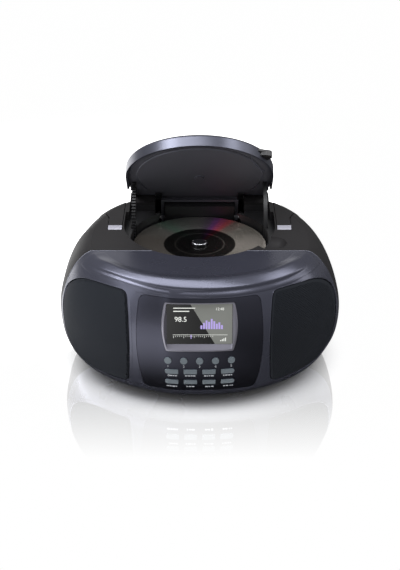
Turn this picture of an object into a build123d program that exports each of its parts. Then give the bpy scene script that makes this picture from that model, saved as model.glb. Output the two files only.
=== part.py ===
from build123d import *
import math
import os

# Portable radio with a top-loading disc player, shown with its lid open.
# X is to the right, Y to the back, Z up, and the origin is on the table
# under the middle of the cabinet. All sizes are in millimetres.

# Cabinet
half_width = 124.5
front_reach = 99.5        # from the widest line to the front
rear_reach = 139.5        # from the widest line to the back
middle_y = -20.0          # where the cabinet is widest, seen from above
waist_z = 55.5            # where it is widest, seen from the front
deck_z = 112.5
base_z = 3.0
wall = 2.4
top_share, shoulder_power = 0.765, 1.62
foot_share, belly_power = 0.584, 2.63
front_power, rear_power = 2.06, 2.33
seam_y = -40.8
post_radius = 4.5
screw_radius = 1.5
foot_radius = 8.0

# Disc and player
disc_y = 7.6
disc_radius = 60.0
disc_thickness = 1.2
disc_z = 95.0             # underside of the disc
disc_hole = 7.5
hub_radius = 7.44
hub_flange = 15.5
shaft_radius = 1.0
running_gap = 0.05

# Well under the disc, and the opening in the deck
opening_y = 14.6
opening_radius = 68.3
opening_side_y = 42.5
opening_rear_half = 65.3
opening_rear_y = 64.3
notch_half = 42.0
notch_y = 82.5
well_wall = 1.8
ledge_z = 103.6
bowl_radius = 62.3
floor_z = 92.0

# Lid
hinge_y = 77.0
hinge_z = 91.7
open_angle = 46.5
lid_gap = 0.8
lid_low_z = 104.0
lid_edge_z = 115.0
lid_crown = 3.0
lid_wall = 2.0
lid_rear_y = 62.5
lid_step_y = 41.6
lid_rear_half = 62.0
liner_z = 106.5
liner_thickness = 1.5
liner_gap = 0.2
swing_radius = 24.6       # nothing behind the lid's edge is nearer the hinge than this
hump_half = 65.5
barrel_radius = 20.5
barrel_wall = 2.2
barrel_half = 36.8
web_inner = 33.6
shield_radius = 17.3
pin_radius = 2.0
ear_inner, ear_outer = 38.2, 41.0
arm_inner_x, arm_outer_x = 58.7, 62.2
arm_low_angle = 71.0
arm_high_angle = 22.0
arm_depth = 6.2
step_swing = 40.7         # the same for the steps in the lid's sides
tab_angle = 32.0
tab_reach = 74.5
tab_low_z, tab_high_z = 107.5, 112.8
scoop_radius = 14.0
scoop_depth = 9.0

# Toothed arm and damper
gear_module = 0.9
sector_teeth = 116
damper_teeth = 12
damper_angle = 14.0
tooth_play = 0.16
damper_shaft = 1.45

# Laser sled
lens_start, lens_end = 22.0, 57.0
lens_radius = 3.5
lens_top_z = 93.2
rail_half = 12.5
rail_radius = 1.5
rail_z = 79.2
sled_low_z, sled_high_z = 76.0, 82.5
chassis_low_z, chassis_high_z = 84.0, 86.0
rack_module = 0.8
sled_gear_teeth = 14
sled_gear_x = 50.0
sled_half_y = 17.0

# Front panel, display and buttons
panel_fit = 0.3
panel_ledge = 4.6
display_y, display_z = -109.3, 79.1
display_lean = 10.8
glass_half_x, glass_half_y = 27.0, 17.7
button_gap = 0.25
button_proud = 0.9
button_travel = 0.8
round_radius = 2.95
round_pitch = 13.1
round_z = 49.7
bar_width, bar_height = 11.0, 4.3
bar_pitch = 15.5
bar_rows = (38.9, 27.9)
board_front_y = -104.0
board_thickness = 1.6
switch_height = 3.6

# Grilles and loudspeakers
grille_depth = 3.8
grille_floor = 6.0
grille_inset = 0.3
grille_thickness = 1.9
grille_fit = 0.4
speaker_x, speaker_z = 77.0, 62.0
speaker_turn = 31.0
speaker_set_back = 20.0
speaker_radius = 33.0

# Handle
handle_pivot_y, handle_pivot_z = 11.5, 105.0
handle_inner, handle_outer = 70.0, 82.4
handle_end_radius = 8.0
handle_low_z = 103.5
handle_proud = 0.4
handle_gap = 0.5
handle_bar_y = 92.5
handle_corner = 12.0
handle_floor = 2.4
handle_pin = 2.0

# Batteries and their compartment
cell_radius, cell_length = 12.9, 49.2
battery_half = 54.0
battery_wall = 2.0
battery_front_y = 57.0
battery_top_z = 64.5
cell_y = 71.0
door_half, door_low_z, door_high_z = 48.0, 12.0, 58.0
door_fit = 0.4
door_pivot_y, door_pivot_z = 105.0, 13.6
door_lug_half = 14.0
door_lug_radius = 2.2
door_pin = 1.0

# Aerial
aerial_x, aerial_y, aerial_z = 48.0, 113.5, 95.0
aerial_wall = 0.7
aerial_radii = (3.2, 2.42, 1.67)
aerial_length = 80.0
aerial_travel = 70.0

# Sockets
socket_face_y = 84.0
socket_inner_x, socket_outer_x = 63.0, 87.0
socket_low_z, socket_high_z = 30.0, 50.0
jack_bore = 1.8
jack_depth = 14.0

os.makedirs("parts", exist_ok=True)


def block(x0, x1, y0, y1, z0, z1):
    """A box between two corners."""
    middle = ((x0 + x1) / 2, (y0 + y1) / 2, (z0 + z1) / 2)
    return Pos(*middle) * Box(x1 - x0, y1 - y0, z1 - z0)


def rod(radius, start, end):
    """A round bar from one point to another."""
    start, end = Vector(*start), Vector(*end)
    along = end - start
    low = (Align.CENTER, Align.CENTER, Align.MIN)
    return Plane(origin=start, z_dir=along) * Cylinder(radius, along.length, align=low)


def tube(outer, inner, start, end):
    """A round bar with a hole right through it."""
    return rod(outer, start, end) - rod(inner, start, end)


def upright(x, y, radius, z0, z1):
    return rod(radius, (x, y, z0), (x, y, z1))


def along_x(face, x0, x1):
    """Extrude a face drawn in Y and Z between two places along X."""
    return extrude(Plane.YZ.offset(x0) * face, x1 - x0)


def along_y(face, y0, y1):
    """Extrude a face drawn in X and Z between two places along Y."""
    return extrude(Plane.XZ.offset(-y1) * face, y1 - y0)


def along_z(face, z0, z1):
    """Extrude a face drawn in X and Y between two heights."""
    return extrude(Plane.XY.offset(z0) * face, z1 - z0)


def polygon(*points):
    return make_face(Polyline(*points, close=True))


def both_sides(shape):
    """The shape and its mirror image across the middle."""
    return shape + mirror(shape, about=Plane.YZ)


def on_hinge(angle, radius):
    """A point in Y and Z at an angle and distance from the lid's hinge."""
    turn = math.radians(angle)
    return (hinge_y + radius * math.cos(turn), hinge_z + radius * math.sin(turn))


def hinge_sector(low_angle, high_angle, inner, outer, x0, x1):
    """Part of a ring about the lid's hinge, between two angles."""
    middle = (low_angle + high_angle) / 2
    edges = [
        ThreePointArc(*[on_hinge(a, outer) for a in (low_angle, middle, high_angle)]),
        Line(on_hinge(high_angle, outer), on_hinge(high_angle, inner)),
        ThreePointArc(*[on_hinge(a, inner) for a in (high_angle, middle, low_angle)]),
        Line(on_hinge(low_angle, inner), on_hinge(low_angle, outer)),
    ]
    return along_x(make_face(edges), x0, x1)


def opened(shape):
    """Turn a lid piece from shut to open, which is how it is stored."""
    return shape.rotate(Axis((0, hinge_y, hinge_z), (1, 0, 0)), -open_angle)


# Cabinet form: one plan outline that grows and shrinks with height

def share_at(t, end_share, power):
    """How wide the cabinet is at a share t of the way from its waist to an end."""
    return end_share + (1 - end_share) * max(0.0, 1 - t**power) ** (1 / power)


def outline_point(turn, half, reach, power):
    """A point of a squared-off ellipse, at a turn in degrees."""
    c, s = math.cos(math.radians(turn)), math.sin(math.radians(turn))
    x = half * math.copysign(abs(c) ** (2 / power), c)
    return x, reach * math.copysign(abs(s) ** (2 / power), s)


def outline(z, share, inset):
    """The cabinet's plan outline at one height."""
    steps = 6
    ways = [(0, 1, 0), (-1, 0, 0), (0, -1, 0), (1, 0, 0)]
    edges = []
    for quarter in range(4):
        reach, power = (rear_reach, rear_power) if quarter < 2 else (front_reach, front_power)
        points = []
        for step in range(steps + 1):
            turn = 90 * (quarter + step / steps)
            x, y = outline_point(turn, (half_width - inset) * share, (reach - inset) * share, power)
            points.append((x, middle_y + y, z))
        edges.append(Spline(*points, tangents=[ways[quarter], ways[(quarter + 1) % 4]]))
    return Wire(edges)


def form(inset):
    """The whole cabinet as a solid, drawn in by a wall's thickness."""
    lowest = (waist_z - base_z) / waist_z
    sections = []
    for t in [lowest * k for k in (1.0, 0.93, 0.8, 0.58, 0.3)]:
        share = share_at(t, foot_share, belly_power)
        sections.append(outline(waist_z - t * (waist_z - inset), share, inset))
    for t in (0, 0.3, 0.55, 0.74, 0.86, 0.94, 0.985, 1.0):
        share = share_at(t, top_share, shoulder_power)
        sections.append(outline(waist_z + t * (deck_z - inset - waist_z), share, inset))
    return Solid.make_loft(sections)


def front_y(x, z, inset=0.0):
    """Where the cabinet's front surface is, at a place seen from the front."""
    if z >= waist_z:
        share = share_at((z - waist_z) / (deck_z - inset - waist_z), top_share, shoulder_power)
    else:
        share = share_at((waist_z - z) / (waist_z - inset), foot_share, belly_power)
    across = abs(x) / ((half_width - inset) * share)
    reach = (front_reach - inset) * share
    return middle_y - reach * (1 - across**front_power) ** (1 / front_power)


outer_form = form(0)
inner_form = form(wall)
shell = outer_form - inner_form
front_space = block(-200, 200, -200, seam_y, -10, 200)
rear_space = block(-200, 200, seam_y, 200, -10, 200)


# Outlines

def opening_outline(grow=0.0):
    """The opening in the deck, without the hinge notch."""
    side, rear = opening_radius + grow, opening_rear_half + grow
    step = opening_side_y + grow
    edges = [
        ThreePointArc((-side, opening_y), (0, opening_y - side), (side, opening_y)),
        Polyline((side, opening_y), (side, step), (rear, step), (rear, opening_rear_y + grow),
                 (-rear, opening_rear_y + grow), (-rear, step), (-side, step), (-side, opening_y)),
    ]
    return make_face(edges)


def lid_outline(shrink=0.0):
    """The lid from above, when it is shut."""
    side = opening_radius - lid_gap - shrink
    step, rear, back = lid_step_y - shrink, lid_rear_half - shrink, lid_rear_y - shrink
    edges = [
        ThreePointArc((-side, opening_y), (0, opening_y - side), (side, opening_y)),
        Polyline((side, opening_y), (side, step), (rear, step), (rear, back),
                 (-rear, back), (-rear, step), (-side, step), (-side, opening_y)),
    ]
    return make_face(edges)


def panel_outline(grow=0.0):
    """The middle panel from the front: a rounded shape with bowed sides."""
    top, bottom = 101.2 + grow, 16.8 - grow
    upper, waist, lower = 49.5 + grow, 52.4 + grow, 46.0 + grow
    edges = [
        Line((-upper, top), (upper, top)),
        ThreePointArc((upper, top), (waist, 70.0), (lower, bottom)),
        Line((lower, bottom), (-lower, bottom)),
        ThreePointArc((-lower, bottom), (-waist, 70.0), (-upper, top)),
    ]
    face = make_face(edges)
    return fillet(face.vertices(), 6.0 + grow)


grille_rim = [
    (60.0, 101.9), (74.0, 101.8), (84.5, 101.0), (93.3, 99.6), (101.0, 96.7), (108.3, 91.1), (114.5, 83.3),
    (118.3, 73.7), (119.4, 63.0), (119.0, 52.0), (117.0, 40.0), (112.2, 30.4), (103.8, 23.6), (93.0, 20.1),
    (80.0, 19.0), (60.2, 19.0),
]


def grille_outline(grow=0.0):
    """The right grille from the front: nearly straight inside, round outside."""
    points = []
    for before, here, after in zip(grille_rim, grille_rim[1:], grille_rim[2:]):
        dx, dz = after[0] - before[0], after[1] - before[1]
        size = math.hypot(dx, dz)
        points.append((here[0] - dz / size * grow, here[1] + dx / size * grow))
    top_in, low_in = (60.0 - grow, 101.9 + grow), (60.2 - grow, 19.0 - grow)
    edges = [Spline(top_in, *points, low_in), ThreePointArc(low_in, (58.0 - grow, 60.0), top_in)]
    face = make_face(edges)
    return fillet(face.vertices(), 5.0 + grow)


def display_outline(grow=0.0):
    """The display's recess, in the leaning plane of its glass."""
    top, bottom = 18.6 + grow, -22.2 - grow
    upper, waist, lower = 28.6 + grow, 31.2 + grow, 27.6 + grow
    edges = [
        Line((-upper, top), (upper, top)),
        ThreePointArc((upper, top), (waist, -1.8), (lower, bottom)),
        Line((lower, bottom), (-lower, bottom)),
        ThreePointArc((-lower, bottom), (-waist, -1.8), (-upper, top)),
    ]
    face = make_face(edges)
    return fillet(face.vertices(), 2.0 + grow)


def handle_outline(grow=0.0):
    """The folded handle from above: two arms and a bar round the back."""
    inner, outer = handle_inner - grow, handle_outer + grow
    front, straight = handle_pivot_y - grow, handle_pivot_y + 17.0 - 3.5 * grow
    corner = handle_corner + grow
    bend_x, bend_y = inner - corner, handle_bar_y - grow - corner
    middle = corner * math.sqrt(0.5)
    edges = [
        Line((inner, front), (outer, front)),
        Polyline((outer, front), (outer, straight), (outer + 5.2, 43.0), (outer + 20, 57.0),
                 (outer + 20, 130.0), (-outer - 20, 130.0), (-outer - 20, 57.0), (-outer - 5.2, 43.0),
                 (-outer, straight), (-outer, front)),
        Line((-outer, front), (-inner, front)),
        Line((-inner, front), (-inner, bend_y)),
        ThreePointArc((-inner, bend_y), (-bend_x - middle, bend_y + middle), (-bend_x, bend_y + corner)),
        Line((-bend_x, bend_y + corner), (bend_x, bend_y + corner)),
        ThreePointArc((bend_x, bend_y + corner), (bend_x + middle, bend_y + middle), (inner, bend_y)),
        Line((inner, bend_y), (inner, front)),
    ]
    return make_face(edges)


display_plane = Plane(
    origin=(0, display_y, display_z), x_dir=(1, 0, 0),
    z_dir=(0, -math.cos(math.radians(display_lean)), math.sin(math.radians(display_lean))),
)


def on_display(face, depth, height):
    """Extrude a face from the plane of the display's glass."""
    return extrude(display_plane.offset(depth) * face, height)


# Loudspeaker place: a line square to the grille, pointing out of the cabinet

speaker_face = Vector(speaker_x, front_y(speaker_x, speaker_z), speaker_z)
speaker_out = Vector(math.sin(math.radians(speaker_turn)), -math.cos(math.radians(speaker_turn)), 0)


def speaker_point(depth):
    """A point on the right loudspeaker's axis, at a depth behind the grille."""
    return tuple(speaker_face - speaker_out * depth)


def speaker_rod(radius, start_depth, end_depth):
    return rod(radius, speaker_point(start_depth), speaker_point(end_depth))


# Buttons

buttons = {}
for number in range(5):
    buttons[f"preset_button_{number + 1}"] = ("round", (number - 2) * round_pitch, round_z)
bar_names = [
    ["power_button", "mode_button", "scan_button", "store_button"],
    ["menu_button", "play_button", "stop_button", "select_button"],
]
for row, names in enumerate(bar_names):
    for column, name in enumerate(names):
        buttons[name] = ("bar", (column - 1.5) * bar_pitch, bar_rows[row])


def button_face(kind, x, z, grow=0.0):
    """A button's outline from the front; the outer bars are rounder at their outer ends."""
    if kind == "round":
        return Pos(x, z) * Circle(round_radius + grow)
    face = Pos(x, z) * Rectangle(bar_width + 2 * grow, bar_height + 2 * grow)
    if abs(x) < bar_pitch:
        return fillet(face.vertices(), 0.6 + grow)
    ends = face.vertices().sort_by(Axis.X)
    outer_end = ends[-2:] if x > 0 else ends[:2]
    face = fillet(outer_end, 1.9 + grow)
    ends = face.vertices().sort_by(Axis.X)
    return fillet(ends[:2] if x > 0 else ends[-2:], 0.6 + grow)


# Front of the cabinet

def make_front_cabinet():
    """The front moulding: pockets for the grilles and panel, and speaker rings."""
    body = shell & front_space
    grille_pad = (outer_form - form(grille_floor)) & along_y(grille_outline(2.0), -130, seam_y - 1.2)
    panel_pad = (outer_form - form(panel_ledge)) & along_y(panel_outline(2.5), -130, seam_y)
    ring = speaker_rod(speaker_radius, 0, speaker_set_back) & form(grille_depth + 0.4)
    body = body + both_sides(grille_pad) + panel_pad + both_sides(ring)
    pocket = along_y(grille_outline(), -130, seam_y - 3.2) - form(grille_depth)
    horn = speaker_rod(speaker_radius - 3.5, -20, speaker_set_back + 1) & form(grille_depth - 0.1)
    for side in (-1, 1):
        for x, z in screw_places:
            post = rod(post_radius, (side * x, seam_y, z), (side * x, seam_y - 60, z)) & form(1.0)
            pilot = rod(screw_radius, (side * x, seam_y, z), (side * x, seam_y - 12, z))
            body = body + post - pilot
    body = body - both_sides(pocket) - both_sides(horn)
    body = body - (along_y(panel_outline(), -130, seam_y) - form(wall + 0.1))
    body = body - along_y(panel_outline(-3.0), -130, -80)
    return body - along_z(opening_outline(), 98, 130)


screw_places = [(98.0, 25.0), (104.0, 88.0)]


def well_depth_y(x, z):
    """How far back the rear wall is at a screw, seen from above."""
    share = share_at(abs(z - waist_z) / (deck_z - waist_z if z > waist_z else waist_z),
                     top_share if z > waist_z else foot_share,
                     shoulder_power if z > waist_z else belly_power)
    across = x / (half_width * share)
    return middle_y + rear_reach * share * (1 - across**rear_power) ** (1 / rear_power)


def make_rear_cabinet():
    """The rear moulding: deck, back, floor, battery box, handle seat and posts."""
    body = shell & rear_space
    # battery box
    box = block(-battery_half - battery_wall, battery_half + battery_wall,
                battery_front_y - battery_wall, 200, 0, battery_top_z + battery_wall)
    hollow = block(-battery_half, battery_half, battery_front_y, 200, 0, battery_top_z)
    body = body + (box & outer_form) - (hollow & inner_form)
    body = body - block(-door_half, door_half, 95, 200, door_low_z, door_high_z)
    pivot = (door_pivot_y, door_pivot_z)
    ear = rod(door_lug_radius + 0.2, (door_lug_half + 0.5, *pivot), (door_lug_half + 3.5, *pivot))
    ear = ear + block(door_lug_half + 0.5, door_lug_half + 3.5, door_pivot_y - 2.4, door_pivot_y + 2, 8, 13.6)
    body = body + (both_sides(ear) & form(0.3))
    body = body - rod(door_lug_radius + 0.5, (-door_lug_half - 0.3, *pivot), (door_lug_half + 0.3, *pivot))
    body = body - rod(door_pin + running_gap, (-door_lug_half - 5, *pivot), (door_lug_half + 5, *pivot))
    # sockets
    face_plate = block(socket_inner_x - wall, socket_outer_x + wall, socket_face_y - 2.0, 200,
                       socket_low_z - wall, socket_high_z + wall)
    recess = block(socket_inner_x, socket_outer_x, socket_face_y, 200, socket_low_z, socket_high_z)
    body = body + (both_sides(face_plate) & outer_form) - both_sides(recess)
    body = body - block(66, 84, socket_face_y - 5, socket_face_y + 1, 34, 46)
    for x in jack_places:
        body = body - rod(4.0 + running_gap, (x, socket_face_y - 5, 40), (x, socket_face_y + 1, 40))
    # screw wells
    for side in (-1, 1):
        for x, z in screw_places:
            back = well_depth_y(x + post_radius, z)
            post = rod(post_radius, (side * x, seam_y, z), (side * x, back, z)) & outer_form
            body = body + post
            body = body - rod(3.2, (side * x, seam_y + 4, z), (side * x, 130, z))
            body = body - rod(screw_radius + 0.3, (side * x, seam_y, z), (side * x, seam_y + 5, z))
    # finger scoop beside the lid
    body = body + scoop(wall)
    body = body - scoop(0.0)
    # raised fairing behind the lid, which follows the lid's swing
    hump = rod(swing_radius - 0.6, (-hump_half, hinge_y, hinge_z), (hump_half, hinge_y, hinge_z))
    hump = hump - rod(swing_radius - 3.0, (-hump_half, hinge_y, hinge_z), (hump_half, hinge_y, hinge_z))
    body = body + (hump & block(-hump_half, hump_half, opening_rear_y, 89, deck_z - wall, 130))
    # seat for the handle
    body = body + (handle_seat() & outer_form)
    body = body - along_z(handle_outline(handle_gap), handle_low_z - handle_gap, 130)
    body = body - handle_end(handle_end_radius + handle_gap, handle_gap)
    body = body - both_sides(block(handle_inner - handle_gap, handle_outer + handle_gap,
                                   handle_pivot_y - handle_end_radius - handle_gap, handle_pivot_y,
                                   handle_pivot_z, 130))
    body = body - both_sides(rod(handle_pin + running_gap, (handle_outer, handle_pivot_y, handle_pivot_z),
                                 (handle_outer + 3.0, handle_pivot_y, handle_pivot_z)))
    # deck opening, hinge notch and swing space
    body = body - along_z(opening_outline(), 98, 130)
    body = body - block(-notch_half, notch_half, opening_rear_y - 1, notch_y, 98, 130)
    body = body - rod(barrel_radius + 0.5, (-notch_half, hinge_y, hinge_z), (notch_half, hinge_y, hinge_z))
    # aerial pillar and rest
    pillar = rod(6.5, (aerial_x, 97.5, aerial_z), (aerial_x, 106.6, aerial_z))
    rest = rod(2.2, (-30, 101.5, aerial_z), (-30, aerial_y - aerial_radii[0] - 0.4, aerial_z))
    body = body + pillar + rest
    body = body - rod(2.0 + running_gap, (aerial_x, 99.5, aerial_z), (aerial_x, 110, aerial_z))
    # posts under the main board
    for x in (-50, 42):
        for y in (-30, 42):
            body = body + upright(x, y, 3.0, base_z + 1.5, 10.0)
    return body


def scoop(grow):
    """The hollow for a finger in the deck, beside the lid's tab."""
    turn = math.radians(tab_angle)
    low = deck_z - scoop_depth + scoop_radius
    centre = (tab_reach * math.cos(turn), opening_y - tab_reach * math.sin(turn), low)
    ball = Pos(*centre) * Sphere(scoop_radius + grow)
    return ball & outer_form & block(-200, 200, seam_y, 20, 90, 130) if grow else ball


def handle_seat():
    """The space that the handle's seat takes up under the deck."""
    seat = along_z(handle_outline(wall + handle_gap), handle_low_z - handle_gap - handle_floor, 130)
    return seat + handle_end(handle_end_radius + handle_gap + handle_floor, wall + handle_gap)


def handle_end(radius, grow):
    """The round ends of the handle's arms, about its pivots."""
    start = (handle_inner - grow, handle_pivot_y, handle_pivot_z)
    end = (handle_outer + grow, handle_pivot_y, handle_pivot_z)
    return both_sides(rod(radius, start, end))


jack_places = (-69.5, -80.5)


# Well and hinge

def make_disc_well():
    """The black tray under the disc, with the ledge that the lid rests on."""
    low = ledge_z - well_wall
    under_deck = deck_z - wall
    body = along_z(opening_outline(well_wall), low, under_deck) - along_z(opening_outline(), ledge_z, 130)
    bowl = upright(0, disc_y, bowl_radius + well_wall, floor_z - well_wall, ledge_z)
    body = body + (bowl & along_z(opening_outline(well_wall), 60, 130))
    body = body - upright(0, disc_y, bowl_radius, floor_z, 130)
    body = body - upright(0, disc_y, 10.0, 80, 100)
    slot_end = lens_end + lens_radius + 1.0
    body = body - block(lens_start - 5, slot_end, disc_y - 6, disc_y + 6, 80, 100)
    swing = rod(barrel_radius + 1.0, (-notch_half, hinge_y, hinge_z), (notch_half, hinge_y, hinge_z))
    body = body - swing - block(-notch_half, notch_half, opening_rear_y - 0.5, 100, 85, 130)
    reach = sector_radius + gear_module + 0.5
    arm_way = hinge_sector(125, 260, sector_radius - arm_depth - 0.5, reach, arm_inner_x - 0.6, arm_outer_x + 0.7)
    body = body - both_sides(arm_way)
    tab = block(-67.0, -65.5, 12, 30, 68, low) - rod(damper_shaft + 1.0, (-70, *damper_place), (-60, *damper_place))
    beside = (handle_seat() + scoop(wall)) - along_z(opening_outline(), 90, 130)
    return ((body + tab) & inner_form) - beside


sector_radius = gear_module * sector_teeth / 2
damper_radius = gear_module * damper_teeth / 2
damper_place = on_hinge(180 + damper_angle, sector_radius + damper_radius)


def make_hinge_bracket():
    """The lid's hinge stand on the battery box, with a shield between its ears."""
    low = battery_top_z + battery_wall
    body = block(-ear_outer, ear_outer, 66, 90, low, low + 2.5)
    ear_face = polygon((68, low), (88, low), (82.5, hinge_z), (71.5, hinge_z))
    ears = along_x(ear_face, ear_inner, ear_outer)
    ears = ears + rod(5.5, (ear_inner, hinge_y, hinge_z), (ear_outer, hinge_y, hinge_z))
    body = body + both_sides(ears)
    half = web_inner - 0.6
    shield = hinge_sector(52, 115, 15.5, shield_radius, -half, half)
    apron = block(-half, half, disc_y + disc_radius + 0.8, disc_y + disc_radius + 2.4, 86, 120)
    shield = shield + (apron & rod(shield_radius, (-half, hinge_y, hinge_z), (half, hinge_y, hinge_z)))
    stalk = block(-6, 6, hinge_y - 1.2, hinge_y + 1.2, low, hinge_z + 16.0)
    body = body + shield + stalk
    hole = rod(pin_radius + running_gap, (web_inner, hinge_y, hinge_z), (50, hinge_y, hinge_z))
    return body - both_sides(hole)


def tooth_half_angle(teeth, module, radius):
    """Half a tooth's angle at a radius, from the involute of a 20 degree gear."""
    pitch = teeth * module / 2
    base = pitch * math.cos(math.radians(20))

    def involute(r):
        a = math.acos(min(1.0, base / r))
        return math.tan(a) - a

    at_pitch = math.pi / (2 * teeth) - tooth_play / (2 * pitch)
    return at_pitch + involute(pitch) - involute(max(radius, base))


def tooth_points(teeth, module, centre_angle):
    """One tooth, root to tip to root, as angles and radii."""
    pitch = teeth * module / 2
    base = pitch * math.cos(math.radians(20))
    root, tip = pitch - 1.25 * module, pitch + module
    start = max(root, base)
    radii = [root] + [start + (tip - start) * k / 4 for k in range(5)]
    flank = [(r, math.degrees(tooth_half_angle(teeth, module, r))) for r in radii]
    if start <= root + 1e-6:
        flank = flank[1:]
    rising = [(centre_angle - h, r) for r, h in flank]
    return rising + [(centre_angle + h, r) for r, h in reversed(flank)]


def gear_face(teeth, module, first_angle):
    """A whole gear's outline, about the origin."""
    points = []
    for k in range(teeth):
        for angle, radius in tooth_points(teeth, module, first_angle + 360 * k / teeth):
            turn = math.radians(angle)
            points.append((radius * math.cos(turn), radius * math.sin(turn)))
    return polygon(*points)


def make_lid_rack_arm():
    """The left arm: a sector about the hinge, toothed on its outer edge."""
    pitch_angle = 360 / sector_teeth
    in_mesh = 180 + damper_angle + open_angle
    low, high = 180 - arm_high_angle, 180 + arm_low_angle
    points = []
    first = math.ceil((low + 2 - in_mesh) / pitch_angle)
    last = math.floor((high - 2 - in_mesh) / pitch_angle)
    root = sector_radius - 1.25 * gear_module
    points.append(on_hinge(low, root))
    for k in range(first, last + 1):
        for angle, radius in tooth_points(sector_teeth, gear_module, in_mesh + k * pitch_angle):
            points.append(on_hinge(angle, radius))
    points.append(on_hinge(high, root))
    inner = sector_radius - arm_depth
    edges = [
        Polyline(*points),
        Line(points[-1], on_hinge(high, inner)),
        ThreePointArc(on_hinge(high, inner), on_hinge((low + high) / 2, inner), on_hinge(low, inner)),
        Line(on_hinge(low, inner), points[0]),
    ]
    arm = along_x(make_face(edges), -arm_outer_x, -arm_inner_x)
    return opened(arm & block(-100, 0, -50, 100, 0, liner_z))


def make_lid_guide_arm():
    """The right arm: the same sector with a smooth edge."""
    arm = hinge_sector(180 - arm_high_angle, 180 + arm_low_angle, sector_radius - arm_depth,
                       sector_radius, arm_inner_x, arm_outer_x)
    return opened(arm & block(0, 100, -50, 100, 0, liner_z))


def crown(offset):
    """The lid's gently domed top, as a ball to cut with."""
    side = opening_radius - lid_gap
    radius = (side**2 + lid_crown**2) / (2 * lid_crown)
    return Pos(0, opening_y, lid_edge_z + lid_crown - radius) * Sphere(radius - offset)


swing_space = rod(swing_radius, (-90, hinge_y, hinge_z), (90, hinge_y, hinge_z))


def make_lid_shell():
    """The lid's outer cap: a domed top and a rim."""
    top = lid_edge_z + lid_crown + 1
    body = along_z(lid_outline(), lid_low_z, top) & crown(0)
    rim = [e for e in body.edges() if e.center().Z > lid_edge_z - 2.5 and e.length > 20]
    body = fillet(rim, 2.5)
    body = body - (along_z(lid_outline(lid_wall), lid_low_z - 1, top) & crown(lid_wall))
    steps = rod(step_swing, (lid_rear_half + 2.5, hinge_y, hinge_z), (90, hinge_y, hinge_z))
    body = body - swing_space - both_sides(steps)
    return opened(body)


def make_lid_liner():
    """The lid's inner plate, with a raised round, hinge barrel and webs."""
    plate = along_z(lid_outline(lid_wall + liner_gap), liner_z, liner_z + liner_thickness) - swing_space
    middle = block(-barrel_half, barrel_half, 50, 63.5, liner_z, liner_z + liner_thickness)
    round_pad = upright(0, opening_y - 2.5, 57.0, liner_z - 0.8, liner_z) - swing_space
    ribs = tube(63.0, 61.6, (0, opening_y, liner_z), (0, opening_y, lid_edge_z - lid_wall - 1.0))
    ribs = (ribs & block(-70, 70, -60, 40, 100, 120)) & crown(lid_wall + 0.2)
    boss = upright(0, opening_y + 2, 3.6, liner_z - 1.8, liner_z)
    barrel = hinge_sector(110, 150, barrel_radius - barrel_wall, barrel_radius, -barrel_half, barrel_half)
    web = along_x(polygon((hinge_y - 3, hinge_z), on_hinge(150, barrel_radius - 0.5),
                          on_hinge(130, barrel_radius - 0.5), on_hinge(110, barrel_radius - 0.5),
                          (hinge_y + 3, hinge_z)), web_inner, barrel_half)
    web = web + rod(4.0, (web_inner, hinge_y, hinge_z), (barrel_half, hinge_y, hinge_z))
    steps = rod(step_swing, (lid_rear_half + 2.5, hinge_y, hinge_z), (90, hinge_y, hinge_z))
    plate = plate - both_sides(steps)
    body = plate + middle + round_pad + boss + barrel + both_sides(web) + ribs
    return opened(body - rod(pin_radius, (-40, hinge_y, hinge_z), (40, hinge_y, hinge_z)))


def make_lid_tab():
    """The black finger tab on the lid's rim."""
    side = opening_radius - lid_gap
    face = polygon((side - 1.5, -7.0), (side + 0.6, -6.8), (tab_reach - 2.0, -4.0), (tab_reach, -1.0),
                   (tab_reach, 1.5), (tab_reach - 1.2, 3.5), (side + 0.4, 5.5), (side - 1.5, 5.5))
    wedge = polygon((side - 1.5, -11.0), (side + 0.3, -9.2), (tab_reach - 3.5, -5.0),
                    (tab_reach - 2.0, -3.5), (side - 1.5, -3.5))
    place = Pos(0, opening_y, 0) * Rot(0, 0, -tab_angle)
    tab = place * (along_z(face, tab_low_z, tab_high_z) + along_z(wedge, 110.6, tab_high_z))
    return opened(tab - upright(0, opening_y, side + 0.02, 100, 130))


def make_hinge_pins():
    pin = rod(pin_radius, (web_inner - 0.5, hinge_y, hinge_z), (ear_outer + 1.5, hinge_y, hinge_z))
    return both_sides(pin)


def make_damper_gear():
    """The damper's small gear, meshed with the toothed arm."""
    gear = along_x(gear_face(damper_teeth, gear_module, damper_angle + 180 / damper_teeth),
                   -arm_outer_x, -arm_inner_x)
    gear = Pos(0, *damper_place) * gear
    return gear - rod(damper_shaft + running_gap, (-70, *damper_place), (-50, *damper_place))


def make_damper_housing():
    """The fixed, oil-filled side of the lid's damper, and its shaft."""
    y, z = damper_place
    body = rod(8.5, (-75.5, y, z), (-67.0, y, z))
    body = body + rod(damper_shaft, (-67.0, y, z), (-arm_inner_x + 0.6, y, z))
    return body + block(-69.0, -67.0, y - 3, y + 3, z - 11.5, z + 11.5)


# Player under the disc

def make_disc():
    face = Circle(disc_radius) - Circle(disc_hole)
    return Pos(0, disc_y) * along_z(face, disc_z, disc_z + disc_thickness)


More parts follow.
